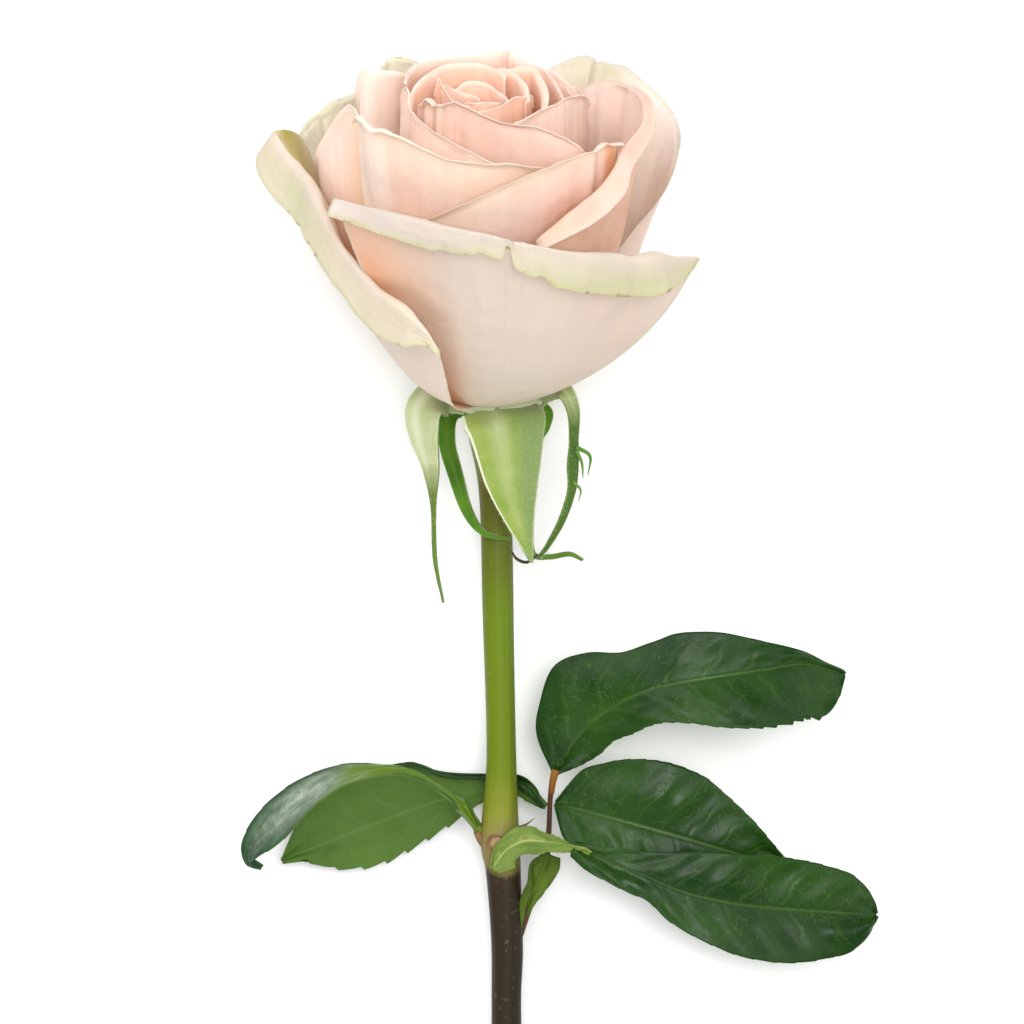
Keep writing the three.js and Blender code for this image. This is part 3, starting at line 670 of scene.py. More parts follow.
# Each shape holds what petal_surface takes.
PETALS = {
    "petal_front": dict(
        rim=[[-34.1, 25, 55.3], [-30.3, 29, 55.9], [-23.8, 33, 55.5], [-17.3, 36, 55.2],
             [-11.6, 38.5, 54.6], [-5.8, 40.5, 54.1], [-0.2, 41.5, 53.3], [4.9, 42, 52.3],
             [10.1, 42, 51.4], [15.7, 41, 50], [21.5, 38.5, 48.3], [26.8, 36, 46.8],
             [32.1, 33, 45.4], [37.5, 28.5, 43.5], [42.3, 23, 41.2]],
        root=[5, 34, 8.2], cup=[19, 16, 8], lean=[20, 70],
        lip=[4.4, 5, 5.6, 6.6, 6.8, 6, 5.6, 7.5, 9.6, 10.4, 10.4, 10.6, 10, 6, 0.8],
        curl=[140, 150, 155, 155, 155, 155, 150, 120], roll=0.25,
        tears=[(0.465, 0.012, 0.72), (0.3, 0.012, 0.12), (0.39, 0.01, 0.14), (0.56, 0.02, 0.15)]),
    "petal_left": dict(
        rim=[[-41.9, -20, 50.5], [-43.7, -19, 53.7], [-46.4, -16, 55.9], [-48.2, -13, 55.9],
             [-47, -10, 54.2], [-43.2, -6, 50.6], [-40, -1, 48.8], [-37.8, 6, 46.6],
             [-34.7, 12, 42.8], [-30.6, 19, 39.6], [-24.9, 27, 36], [-19.6, 32, 33.9],
             [-14.7, 35, 29.7], [-11.8, 37, 25.6]],
        root=[-60, 34, 9.4], cup=[20, 14], lean=[16, 62],
        lip=[1, 2.5, 5, 8, 10.4, 11, 10.6, 10, 9.8, 10.2, 11.4, 10.4, 4, 1],
        curl=[100, 115, 120, 125, 130, 135, 140, 150, 150, 140], roll=0.25),
    "petal_right": dict(
        rim=[[26, 10, 37.2], [30.6, 6, 42.3], [34.8, 1, 45.6], [37.8, -4.5, 48.9], [39.6, -11, 52.4],
             [39.9, -17, 54.9], [38.3, -22.5, 57.7], [34.9, -27, 60.8], [30.8, -30.5, 63.3],
             [27.1, -33, 64.7], [23, -34, 64.8], [21.4, -34.5, 65.6], [19, -35, 66.1], [15.2, -35, 65],
             [11.9, -34, 63.2]],
        root=[115, 36, 9.4], cup=[20, 24], lean=[20, 65],
        lip=[0.6, 1, 1.5, 2, 2, 2.5, 2.5, 2], curl=[50]),
    "petal_back_left": dict(
        rim=[[-21.3, -42, 57.6], [-32, -36, 56.7], [-35.4, -33, 56.6], [-39.3, -30, 54.8],
             [-42.7, -25, 52.7], [-44.7, -15, 50]],
        root=[-125, 32, 9.4], cup=[22, 18], lean=[20, 76], lip=[1.5, 2, 2, 2, 1.5], curl=[55]),
    "petal_back": dict(
        rim=[[21, -43, 52], [11, -49.5, 56], [-1, -51.5, 57.5], [-13, -49.5, 56], [-24, -43, 52]],
        root=[180, 34, 8.2], cup=[24, 14], lean=[24, 68], lip=[1.5, 2, 2, 2, 1.5], curl=[55]),
    "petal_second_front": dict(
        rim=[[-22, 26, 48], [-16.9, 31.5, 52.7], [-11.6, 34, 55.5], [-1.2, 36, 60.5], [5.6, 35, 63.6],
             [12.4, 34, 66.6], [17.6, 31, 67.6], [22.8, 28, 67.9], [26.6, 24, 67.1]],
        root=[10, 36, 7.2], cup=[20, 34], lean=[22, 86],
        lip=[1, 2, 2.5, 2.5, 2.5, 2.5, 2.5, 3, 2.4], curl=[40, 45, 50, 60, 90]),
    "petal_second_right": dict(
        rim=[[8.5, 39, 51.1], [15.1, 36.5, 56.3], [19.9, 33, 58.9], [24.5, 29, 62.7], [26.2, 25, 66.1],
             [28.8, 20, 67.2], [31.3, 14, 68.3], [31.6, 8, 69.5], [30.7, 2, 70.1], [28.7, -3, 69.9],
             [25.9, -8, 69], [22.5, -12, 67.8], [19.5, -15, 65.9], [16.8, -20, 61.9]],
        root=[75, 40, 7.8], cup=[20, 34], lean=[22, 82],
        lip=[3, 6, 7, 7, 6, 5, 3.5, 2.6, 2.4, 2.2, 2, 2, 2, 1.5],
        curl=[140, 140, 130, 115, 90, 70, 50, 45], roll=0.4),
    "petal_second_back_left": dict(
        rim=[[-8.2, -34, 61.8], [-16.5, -32, 65.3], [-19.8, -31.5, 66.4], [-23.3, -30, 67.5],
             [-25.4, -27.5, 65.7], [-28.2, -23, 63.8]],
        root=[-145, 32, 7.2], cup=[20, 26], lean=[22, 90], lip=[1.5], curl=[45]),
    "petal_second_back": dict(
        rim=[[24, -20, 58], [18, -27, 61], [8, -31, 62], [-4, -31, 61], [-12, -28, 58]],
        root=[165, 34, 6.4], cup=[20, 26], lean=[22, 90], lip=[1.5], curl=[45]),
}

HEART = {
    "second_left": dict(
        rim=[[-38.1, -24, 35.2], [-38.9, -14, 45.3], [-38.8, -5, 54.2], [-35.8, 2, 62], [-33, 6, 67.5],
             [-30.6, 9, 70], [-28.4, 12, 67.4], [-26, 14, 64.5]],
        root=[-85, 36, 7.2], cup=[22, 24], lean=[24, 90], lip=[2.5], curl=[45]),
    "third_left": dict(
        rim=[[-29.6, 17, 69.2], [-28.7, 19, 71.8], [-27.3, 21, 72.2], [-25.4, 24, 70.8], [-22.9, 25.5, 70.3],
             [-19.5, 27, 69.3], [-14.3, 29, 67.6], [-9.5, 30.5, 66.1], [-2.9, 31.5, 65.2], [3.7, 31, 64.9],
             [9.1, 29, 63.4], [14.3, 27, 62.9]],
        root=[-20, 38, 5.8], cup=[20, 30], lean=[24, 92],
        lip=[2, 3.4, 4, 3.6, 3, 2.6, 2.4, 2.4, 2.4, 2.4, 2.2, 2],
        curl=[110, 130, 125, 100, 80, 60, 50, 45], roll=0.8),
    "third_back_left": dict(
        rim=[[-29.6, -16, 58], [-30.1, -13, 62.3], [-30.3, -10.5, 66.8], [-29.4, -9, 71], [-28, -8.5, 72.3],
             [-24.7, -10, 71.3], [-21.5, -13, 70], [-18.4, -17, 67.7]],
        root=[-120, 40, 5.2], cup=[20, 34], lean=[24, 94],
        lip=[2.5, 2.5, 2.2, 2, 2, 2, 2], curl=[80, 70, 50]),
    "third_back": dict(
        rim=[[19.8, -13, 59.5], [17, -18, 63.7], [12.7, -22, 66.5], [9.4, -24, 67], [-3.7, -25, 67.6],
             [-14.5, -21, 67]],
        root=[175, 40, 5.6], cup=[20, 32], lean=[24, 94], lip=[2], curl=[45]),
    "fourth_left": dict(
        rim=[[-20.2, 0, 63.7], [-20.5, 1, 67.7], [-20.2, 3, 70.7], [-19.1, 5.5, 72.7], [-18.4, 8, 72.2],
             [-18.4, 10, 70.4], [-17.5, 12, 69.4], [-15.4, 14.5, 68.3], [-11.2, 18.5, 66.3],
             [-5.9, 22.5, 64.7], [-1.9, 24.5, 63.4], [1.8, 25.5, 62.7]],
        root=[-40, 36, 4.6], cup=[18, 40], lean=[22, 96],
        lip=[1.6, 1.8, 2, 2, 2, 2, 2, 2], curl=[50, 60, 60, 50, 45, 45]),
    "fourth_front": dict(
        rim=[[-17.1, 7, 65.4], [-16.1, 9, 70.1], [-15, 10.5, 71.7], [-13.5, 12, 72], [-12.3, 13, 71.5],
             [-10.6, 13.5, 71.9], [-8.7, 14, 72.5], [-6.8, 15, 72.3], [-3, 17, 71.1], [0.9, 19, 70.2],
             [4.8, 21, 70.1], [8.5, 22.5, 70], [12.5, 23.5, 68.9], [15.8, 24, 67.5], [18.5, 24.5, 65.5]],
        root=[10, 38, 4.2], cup=[18, 42], lean=[22, 94],
        lip=[1, 2, 2.6, 2.8, 2.6, 2.4, 2.2, 2.2, 2.2, 2.2, 2.2, 2.2, 2, 2],
        curl=[100, 110, 90, 60, 45, 45, 45]),
    "fourth_right": dict(
        rim=[[1.4, 15, 66.9], [4.3, 16, 68.7], [8.1, 13.5, 70], [13, 9.5, 70.9], [15.4, 7, 71.1],
             [18.6, 2.5, 70], [20, -4, 65.9]],
        root=[60, 36, 4], cup=[18, 42], lean=[22, 92],
        lip=[2, 2, 2, 2, 2, 2, 1.5], curl=[40, 45, 50, 60, 60]),
    "crown_back": dict(
        rim=[[14.9, -2, 65.7], [13.8, -7, 67.1], [12.1, -11, 68.9], [10.2, -14, 70], [8.3, -16, 70.4],
             [5, -17.5, 71.7], [3.3, -18, 72.5], [1.8, -18.5, 73.1], [-1.7, -18, 72.5], [-5.6, -17.5, 71.9],
             [-11.8, -15, 72.1], [-16.3, -12, 72.2], [-18.8, -8, 72], [-19.8, -3, 70.8]],
        root=[180, 45, 3.6], cup=[16, 46], lean=[22, 94], lip=[1.8], curl=[45]),
    "ring": dict(
        rim=[[2, -7, 71.2], [-1.6, -10.5, 72], [-4.4, -11.5, 72.5], [-9.2, -11, 72.5], [-11.7, -9.5, 72.4],
             [-14.5, -6, 72], [-16.5, -2, 71.6], [-17.8, 1, 70.8], [-18.1, 4, 69.9]],
        root=[-140, 60, 2.6], cup=[14, 50], lean=[20, 92], lip=[1.6], curl=[50]),
    "ring_middle": dict(
        rim=[[6.9, 3, 68.9], [6.6, -2, 70.1], [5.4, -5, 70.8], [3.9, -8.2, 71.4], [1.2, -10.6, 71.5],
             [-1.8, -11.8, 70]],
        root=[140, 40, 2.4], cup=[14, 50], lean=[20, 92], lip=[1.8], curl=[70]),
    "ring_right": dict(
        rim=[[10.3, 5, 66.4], [10.9, 0, 68.8], [10.4, -4, 69.8], [9.3, -8, 70.6], [8, -12, 71.4],
             [5, -13, 71.2], [2.2, -13.2, 70.2], [-1.5, -13, 67.5]],
        root=[120, 50, 2.4], cup=[14, 50], lean=[20, 92], lip=[2.2], curl=[95]),
    "spike": dict(
        rim=[[-13.6, -5, 67.2], [-13, -4, 70], [-12.2, -3, 71.9], [-11.4, -1, 70.8], [-10.2, 2.5, 70],
             [-9, 6, 69.9], [-6.8, 9, 69.9]],
        root=[-70, 40, 2], cup=[12, 55], lean=[20, 92], lip=[1.2], curl=[40]),
    "inner_back": dict(
        rim=[[2.7, 0, 67.6], [2, -3, 67.8], [0.1, -5.5, 68.3], [-2.1, -7.5, 69.2], [-4.9, -8, 69.6],
             [-7, -7.5, 69.4], [-8.7, -6, 68.4]],
        root=[170, 50, 1.8], cup=[12, 55], lean=[20, 90], lip=[1.2], curl=[40]),
    "inner_left": dict(
        rim=[[-3.6, -5, 66.7], [-5.7, -6, 67.3], [-7.9, -6, 67.9], [-9.8, -5.5, 69], [-11.2, -4, 70.2],
             [-11.8, -1, 69.5]],
        root=[-120, 30, 1.6], cup=[12, 55], lean=[20, 90], lip=[1.2], curl=[40]),
    "bud": dict(
        rim=[[-7.3, 2, 67.6], [-6, 3.5, 68.8], [-4.3, 4.5, 68.9], [-1.8, 4.5, 69.2], [0.8, 4, 68.8]],
        root=[-30, 40, 1.2], cup=[12, 60], lean=[20, 90], lip=[1.2], curl=[40]),
    "cup_front": dict(
        rim=[[-6.4, 10, 69.1], [-3.5, 9.8, 68.9], [-0.9, 8.5, 69.1], [1.2, 7, 69.4], [2.9, 5, 69.9],
             [4.1, 3.5, 70.1], [6.6, 1, 69.3], [7.7, -1, 68.5], [8, -3, 65.4]],
        root=[30, 55, 1.6], cup=[12, 55], lean=[20, 92], lip=[1.2], curl=[45]),
}

# Stops are colours from the root at 0 to the rim, edge a colour and edge_reach how many
# millimetres it goes in, bruise how dark its spots are. A tint is a soft oval: its place
# across and along the petal, its width, its height, its colour and its strength.
PETAL_SKINS = {
    "heart_outer_face": dict(
        stops=[(0.0, DEEP), (0.45, APRICOT), (0.64, BLUSH), (0.78, PINK), (0.88, PALE_PINK)],
        edge=PALE_AND_PAINTED_HIGHLIGHT, edge_reach=1.2, dim=0.88),
    "heart_inner_face": dict(
        stops=[(0.0, DEEP), (0.5, APRICOT), (0.74, BLUSH), (0.88, PINK)],
        edge=PALE_AND_PAINTED_HIGHLIGHT, edge_reach=1.0, dim=0.93),
    "core_face": dict(
        stops=[(0.0, (1.0, 0.3, 0.1)), (0.68, (1.0, 0.5, 0.3)), (0.8, (1.0, 0.66, 0.49)),
               (0.92, (1.0, 0.76, 0.65))],
        edge=PALE_AND_PAINTED_HIGHLIGHT, edge_reach=0.6, dim=0.97),
    "back_petal_outer_face": dict(
        stops=[(0.0, LIME), (0.3, CREAM), (0.8, MILK)],
        edge=(0.76, 0.77, 0.56), edge_reach=2.0, bruise=0.6, dim=0.9),
    "back_petal_inner_face": dict(
        stops=[(0.0, APRICOT), (0.4, CREAM), (0.8, (0.8, 0.82, 0.68))],
        edge=(0.76, 0.78, 0.58), edge_reach=2.0, bruise=0.6),
    "front_petal_outer_face": dict(
        stops=[(0.0, (0.78, 0.78, 0.5)), (0.12, (0.86, 0.82, 0.65)), (0.3, MILK),
               (0.62, (0.94, 0.83, 0.74))],
        edge=CREAM, edge_reach=1.5, dim=0.79,
        # Painted shadow: the orange and deep ovals at the left stand for the left petal's shadow; the
        # grey-pink oval at the right is painted shade on that side
        tints=[(0.04, 0.38, 0.32, 0.5, (1.0, 0.58, 0.36), 0.95),
               (0.0, 0.3, 0.16, 0.5, DEEP, 0.8),
               (0.9, 0.4, 0.28, 0.35, (0.8, 0.7, 0.62), 0.7)]),
    "front_petal_inner_face": dict(
        stops=[(0.0, DEEP), (0.45, BLUSH), (0.62, MILK), (0.8, (0.79, 0.75, 0.63)),
               (1.0, (0.74, 0.74, 0.53))],
        edge=(0.7, 0.72, 0.38), edge_reach=1.4, bruise=0.9, dim=0.77,
        tints=[(0.15, 0.8, 0.38, 0.5, (0.86, 0.8, 0.75), 0.9),
               # Painted highlight: the brighter than white oval on the lip's rolled left end
               (0.0, 0.8, 0.12, 0.6, (1.1, 1.07, 1.03), 0.9),
               (0.8, 0.95, 0.4, 0.25, (0.67, 0.73, 0.42), 0.8)]),
    "left_petal_outer_face": dict(
        stops=[(0.0, LIME), (0.2, MILK), (0.62, (0.88, 0.83, 0.77))],
        edge=CREAM, edge_reach=1.5, bruise=0.5, dim=0.83),
    "left_petal_inner_face": dict(
        stops=[(0.0, DEEP), (0.4, APRICOT), (0.58, CREAM), (0.62, MILK), (0.75, (0.79, 0.73, 0.59)),
               (1.0, (0.76, 0.74, 0.56))],
        edge=(0.7, 0.73, 0.42), edge_reach=1.6, bruise=1.0, dim=0.86,
        # Painted shade: the dull ochre oval in the hollow of the inner face
        tints=[(0.16, 0.5, 0.2, 0.2, (0.72, 0.55, 0.24), 0.85),
               (0.15, 0.63, 0.13, 0.15, (0.5, 0.47, 0.05), 1.0),
               (0.45, 0.85, 0.25, 0.2, (0.67, 0.74, 0.44), 0.7),
               (0.65, 0.6, 0.3, 0.1, PALE_PINK, 0.6)]),
    "right_petal_outer_face": dict(
        stops=[(0.0, LIME), (0.3, CREAM), (0.8, MILK)],
        edge=(0.8, 0.76, 0.66), edge_reach=1.5, bruise=0.3, dim=0.88,
        tints=[(0.05, 0.8, 0.35, 0.6, (0.86, 0.63, 0.53), 0.95)]),
    "right_petal_inner_face": dict(
        stops=[(0.0, GAP_SHADE_TAN), (0.25, (0.95, 0.72, 0.58)), (0.5, (1.0, 0.88, 0.84)),
               (0.8, (0.94, 0.89, 0.87)), (0.93, (0.81, 0.78, 0.75))],
        edge=(0.7, 0.69, 0.64), edge_reach=1.5, bruise=0.3,
        tints=[(0.8, 0.92, 0.42, 0.6, (0.6, 0.6, 0.46), 0.95),
               (0.68, 0.88, 0.07, 0.3, (0.5, 0.53, 0.33), 0.6)]),
    # Painted shade: the dull browns on this petal's back stand for the shadowed gap beside the right petal
    "right_inner_petal_back": dict(
        stops=[(0.0, DEEP), (0.4, (0.6, 0.33, 0.2)), (0.7, (0.66, 0.4, 0.28)),
               (0.86, (0.85, 0.62, 0.5))],
        edge=PALE_AND_PAINTED_HIGHLIGHT, edge_reach=1.2),
    "right_inner_petal_face": dict(
        stops=[(0.0, DEEP), (0.5, BLUSH), (0.66, (1.0, 0.83, 0.77)), (0.78, (1.0, 0.85, 0.8)),
               (0.88, (0.78, 0.6, 0.5))],
        edge=(0.8, 0.7, 0.62), edge_reach=1.5, dim=0.94,
        tints=[(0.25, 0.9, 0.3, 0.16, (0.78, 0.64, 0.55), 0.6),
               (0.04, 0.88, 0.06, 0.12, (0.95, 0.62, 0.45), 0.7)]),
    "second_petal_outer_face": dict(
        stops=[(0.0, DEEP), (0.45, APRICOT), (0.64, BLUSH), (0.8, PINK), (0.9, (0.95, 0.78, 0.64))],
        edge=(0.86, 0.76, 0.56), edge_reach=1.4, dim=0.84,
        # Painted shade: both orange ovals at the right end stand for the hollow beside the next petal
        tints=[(0.75, 0.58, 0.34, 0.3, (1.0, 0.52, 0.3), 0.95),
               (0.98, 0.84, 0.12, 0.3, (1.0, 0.5, 0.26), 0.95)]),
    "left_inner_petal_face": dict(
        stops=[(0.0, DEEP), (0.45, APRICOT), (0.62, BLUSH), (0.88, PINK)],
        edge=MILK, edge_reach=2.0, dim=0.96,
        # Painted shade: the orange oval towards the right, where the next petal overlaps
        tints=[(0.8, 0.68, 0.34, 0.34, (1.0, 0.66, 0.4), 0.9),
               (0.3, 0.8, 0.22, 0.3, PALE_PINK, 0.7),
               (0.0, 0.5, 0.3, 0.8, CREAM, 0.9)]),
    "pale_heart_outer_face": dict(
        stops=[(0.0, DEEP), (0.5, BLUSH), (0.75, (1.0, 0.87, 0.81))],
        edge=PALE_AND_PAINTED_HIGHLIGHT, edge_reach=1.5),
    "pale_heart_inner_face": dict(
        stops=[(0.0, APRICOT), (0.5, (1.0, 0.88, 0.82)), (0.75, (1.0, 0.94, 0.9))],
        edge=PALE_AND_PAINTED_HIGHLIGHT, edge_reach=1.5,
        # Painted shade: the peach oval on the side that runs in behind the heart
        tints=[(0.75, 0.55, 0.3, 0.4, (1.0, 0.78, 0.64), 0.5)]),
    "finger_petal_outer_face": dict(
        stops=[(0.0, DEEP), (0.5, APRICOT), (0.7, BLUSH), (0.88, PALE_PINK)],
        edge=PALE_AND_PAINTED_HIGHLIGHT, edge_reach=1.6, dim=0.95,
        # Painted highlight: the pale oval on the rolled tip
        tints=[(0.3, 0.85, 0.25, 0.3, PALE_AND_PAINTED_HIGHLIGHT, 0.85)]),
    "finger_petal_inner_face": dict(
        stops=[(0.0, DEEP), (0.8, APRICOT), (0.95, BLUSH)],
        edge=PALE_AND_PAINTED_HIGHLIGHT, edge_reach=1.0),
    "crinkled_petal_outer_face": dict(
        stops=[(0.0, DEEP), (0.5, APRICOT), (0.68, BLUSH), (0.88, PINK)],
        edge=PALE_AND_PAINTED_HIGHLIGHT, edge_reach=1.4, dim=0.84,
        # Painted highlight: the cream oval on the crinkled left part of the rim
        tints=[(0.2, 0.92, 0.2, 0.16, (0.98, 0.9, 0.72), 0.8)]),
    "third_petal_outer_face": dict(
        stops=[(0.0, DEEP), (0.45, APRICOT), (0.62, BLUSH), (0.75, (1.0, 0.74, 0.63)),
               (0.88, (0.95, 0.78, 0.65))],
        edge=(0.98, 0.9, 0.76), edge_reach=2.0, dim=0.86,
        # Painted highlight: both pale ovals down the rolled left margin
        tints=[(0.26, 0.74, 0.16, 0.22, PALE_AND_PAINTED_HIGHLIGHT, 0.9),
               (0.1, 0.62, 0.14, 0.4, (0.97, 0.86, 0.76), 0.9)]),
    "third_petal_inner_face": dict(
        stops=[(0.0, DEEP), (0.6, APRICOT), (0.8, MILK)],
        edge=MILK, edge_reach=1.5,
        tints=[(0.05, 0.95, 0.2, 0.2, (0.74, 0.73, 0.52), 0.8)]),
}

BACK_FACES = ("back_petal_outer_face", "back_petal_inner_face")
HEART_FACES = ("heart_outer_face", "heart_inner_face")
CORE_FACES = ("core_face", "core_face")

# The finishes of a petal's outer and inner face, where they aren't the heart's
PETAL_FACES = {
    "petal_front": ("front_petal_outer_face", "front_petal_inner_face"),
    "petal_left": ("left_petal_outer_face", "left_petal_inner_face"),
    "petal_right": ("right_petal_outer_face", "right_petal_inner_face"),
    "petal_back_left": BACK_FACES,
    "petal_back": BACK_FACES,
    "petal_second_back_left": BACK_FACES,
    "petal_second_right": ("right_inner_petal_back", "right_inner_petal_face"),
    "petal_second_front": ("second_petal_outer_face", "heart_inner_face"),
    "second_left": ("left_inner_petal_face", "heart_inner_face"),
    "third_back_left": ("pale_heart_outer_face", "pale_heart_inner_face"),
    "fourth_left": ("finger_petal_outer_face", "finger_petal_inner_face"),
    "fourth_front": ("crinkled_petal_outer_face", "heart_inner_face"),
    "third_left": ("third_petal_outer_face", "third_petal_inner_face"),
}

# Creases along a petal: place across it, width and height
PETAL_CREASES = {
    "petal_right": [(0.5, 0.04, 0.7), (0.42, 0.05, -0.6), (0.2, 0.06, -0.4)],
    "crown_back": [(0.08, 0.035, 0.6), (-0.05, 0.05, -0.5)],
    "third_left": [(-0.6, 0.16, 1.0), (-0.3, 0.09, -0.35)],
    "fourth_front": [(-0.78, 0.03, 0.8), (-0.66, 0.035, -0.7), (-0.52, 0.03, 0.7), (-0.42, 0.03, -0.4)],
    "petal_front": [(-0.05, 0.02, 0.3), (0.02, 0.015, -0.25), (0.75, 0.06, -0.8), (0.6, 0.05, 0.5)],
    "petal_second_right": [(0.45, 0.06, 0.5), (0.62, 0.05, -0.4)],
    "petal_back_left": [(0.2, 0.08, 0.6)],
    "petal_second_front": [(0.62, 0.05, 0.5), (0.75, 0.05, -0.5)],
}


def ruffle(seed, height, turns, pleats=0.0, creases=()):
    """Soft folds that grow towards a petal's rim, fine pleats along the petal, crinkles near
    its rim, and creases given by place, width and height."""
    def lift(u, v):
        wide = noise.noise(Vector((u * turns + seed, v * 1.1, seed)))
        fine = noise.noise(Vector((u * turns * 3, v * 3 + seed, 7.3)))
        narrow = noise.noise(Vector((u * 13, v * 0.9 + seed, 3.1)))
        crinkle = noise.noise(Vector((u * turns * 7, v * 11, seed + 5.7)))
        folds = height * ease(0.25, 1, min(v, 1)) * (wide + 0.3 * fine)
        pleated = pleats * (ease(0.1, 0.6, v) * narrow + 0.5 * ease(0.6, 1.2, v) * crinkle)
        creased = sum(tall * bell(u, place, width) for place, width, tall in creases)
        return folds + pleated + creased * ease(0.4, 0.95, v)
    return lift


CORE = ("ring", "ring_middle", "ring_right", "spike", "inner_back", "inner_left", "bud", "cup_front")
CALM = (*CORE, "third_back_left", "petal_front")  # petals with fainter pleats
CRESTS = {"petal_front": 0.62, "petal_left": 0.62, "petal_second_right": 0.8}
CREST = 0.88  # of a petal's rows are below its lip, where CRESTS doesn't say otherwise
GRIDS = {"petal_front": (150, 96), "petal_left": (96, 90)}  # for the widest lips
PETAL_GRID = (72, 60)
CORE_GRID = (48, 44)
RUFFLE_TURNS = 2.2
PETAL_SEEDS = 3.7  # between the ruffles of one petal and the next


def petals():
    skins = {name: petal_skin(name, **skin) for name, skin in PETAL_SKINS.items()}
    for i, (name, shape) in enumerate({**PETALS, **HEART}.items()):
        in_heart = name in HEART
        grid = GRIDS.get(name, CORE_GRID if name in CORE else PETAL_GRID)
        height = 0.2 if name in CORE or name == "third_back_left" else 0.5 if in_heart else 0.8
        pleats = 0.08 if name in CALM else 0.2
        folds = ruffle(i * PETAL_SEEDS, height, RUFFLE_TURNS, pleats, PETAL_CREASES.get(name, ()))
        faces = PETAL_FACES.get(name, CORE_FACES if name in CORE else HEART_FACES)
        piece, petal = ("heart_" + name, "heart_petals") if in_heart else (name + "_fine", name)
        blade(piece, petal_surface(**shape), grid, [skins[face] for face in faces], petal,
              PETAL_THICKNESS, CRESTS.get(name, CREST), folds, rim_share=PETAL_RIM_SHARE)


# Stem

STEM_PATH = [[2.5, -170.5, 3.4], [2.2, -152, 5.2], [2, -135, 6.9], [2.2, -123, 8], [1.3, -106, 9.6],
             [0.5, -98, 10.4], [0.9, -79, 12.1], [0.2, -46, 15.1], [-0.2, -22, 17.2], [0, -10, 18.3],
             [0, 0, 21]]
STEM_RADII = [3.6, 3.5, 3.3, 3.5, 3.9, 4.3, 3.3, 3.5, 3.8, 6.2, 7.4]
STEM_CUT = Vector((0.25, -1, 0.55))
THORN = [[3.6, -96.5, 11], [6.4, -95.4, 11.4], [8.3, -94, 11.6]]
LEAF_SCAR = Vector((0.1, -99.3, 14.4))


def stem():
    bark = stem_bark("stem_skin")
    cut = pith("stem_pith")

    def ribs(angle, t):
        lumps = noise.noise(Vector((math.cos(angle) * 1.5, math.sin(angle) * 1.5, t * 9)))
        return 0.14 * lumps + 0.05 * math.sin(angle * 5 + t * 4)
    round_body("stem_body", STEM_PATH, STEM_RADII, 48, 150, [bark, cut], "stem", ribs,
               (STEM_CUT, AXIS))
    thorn = plain_finish("thorn_skin", (0.1, 0.05, 0.04), (0.2, 0.12, 0.06), 300, 0.5)
    round_body("stem_thorn", THORN, [0.5, 0.25, 0.06], 16, 12, [thorn], "stem")
    brown = plain_finish("scar_rim_skin", (0.13, 0.055, 0.03), (0.22, 0.11, 0.05), 400, 0.6)
    tan = plain_finish("scar_skin", (0.36, 0.24, 0.13), (0.26, 0.18, 0.08), 500, 0.7)
    for part, size, lift, skin in (("rim", (2.4, 2.1, 0.6), 0, brown),
                                   ("lens", (1.7, 1.35, 0.6), 0.25, tan)):
        bm = bmesh.new()
        bm.loops.layers.uv.new("blade")
        bmesh.ops.create_uvsphere(bm, u_segments=32, v_segments=16, radius=1)
        for vert in bm.verts:
            x, y, z = (place * scale for place, scale in zip(vert.co, size))
            vert.co = LEAF_SCAR + Vector((x, y, z + lift))
        finished("leaf_scar_" + part, bm, [skin], "stem")


# Sepals

# Each shape holds what leaf_surface takes.
SEPALS = {
    "sepal_left": dict(
        spine=[[-5.9, -1.8, 21], [-11, -0.5, 23], [-15.7, -3.2, 26], [-16, -9.2, 26], [-14.5, -16.8, 23],
               [-14, -25.6, 20], [-13.7, -36.6, 17], [-12, -46, 13]],
        facing=[[0, -0.6, 0.8], [-0.4, 0.2, 0.9], [-0.5, 0, 0.85], [-0.3, 0, 0.95]],
        left=[3.6, 4.4, 4.4, 3.6, 2.1, 0.6, 0.42, 0.12]),
    "sepal_back_left": dict(
        spine=[[-4, -2.6, 17], [-10.2, -3.8, 13.5], [-11.1, -10.1, 15], [-9.1, -17.8, 17], [-6.4, -26, 20.5],
               [-2.8, -30.6, 22.5], [2.8, -31.9, 21.6]],
        facing=[[0, -0.6, 0.8], [-0.3, 0, 0.95], [-0.3, 0, 0.95]],
        left=[2.4, 2.2, 1.9, 1.7, 1.2, 0.6, 0.15]),
    "sepal_front": dict(
        spine=[[0.7, -3, 28.2], [1.8, -6, 31.5], [2.4, -10.4, 32], [3.3, -19.1, 30.5], [5, -27.7, 28],
               [7.7, -37, 25]],
        facing=[[0, 0.7, 0.64], [0, 0.1, 1], [0, 0, 1], [0, 0, 1]],
        left=[8.6, 8.8, 7.8, 5.9, 3.2, 0.2], fold=-0.15),
    "sepal_right": dict(
        spine=[[7.3, -1.8, 22], [10.5, 0.3, 26], [14.4, 0.5, 29], [16.6, -3.8, 30], [16.8, -10.3, 28],
               [16.6, -15.7, 26], [16.4, -21.2, 25], [14.3, -27.8, 23], [11.2, -33.3, 22], [9.2, -35.9, 21]],
        facing=[[0, -0.6, 0.8], [0.4, 0.2, 0.9], [0.5, 0, 0.85], [0.3, 0, 0.95]],
        left=[3, 2.6, 2, 1.5, 1.1, 1.4, 1, 0.8, 0.5, 0.15]),
    "sepal_back_right": dict(
        spine=[[4.2, -2.6, 17.5], [10.2, -3.5, 14.5], [10.4, -6.8, 14.5], [8.4, -11.2, 15], [7.6, -18.9, 15],
               [7.2, -27.8, 16], [8, -35.1, 17], [11.7, -35.9, 17], [16.1, -35.3, 16], [19, -36.6, 15]],
        facing=[[0, -0.6, 0.8], [0.3, 0, 0.95], [0.3, 0, 0.95]],
        left=[2.2, 1.8, 1.4, 1.1, 1, 0.8, 0.6, 0.5, 0.4, 0.12]),
}

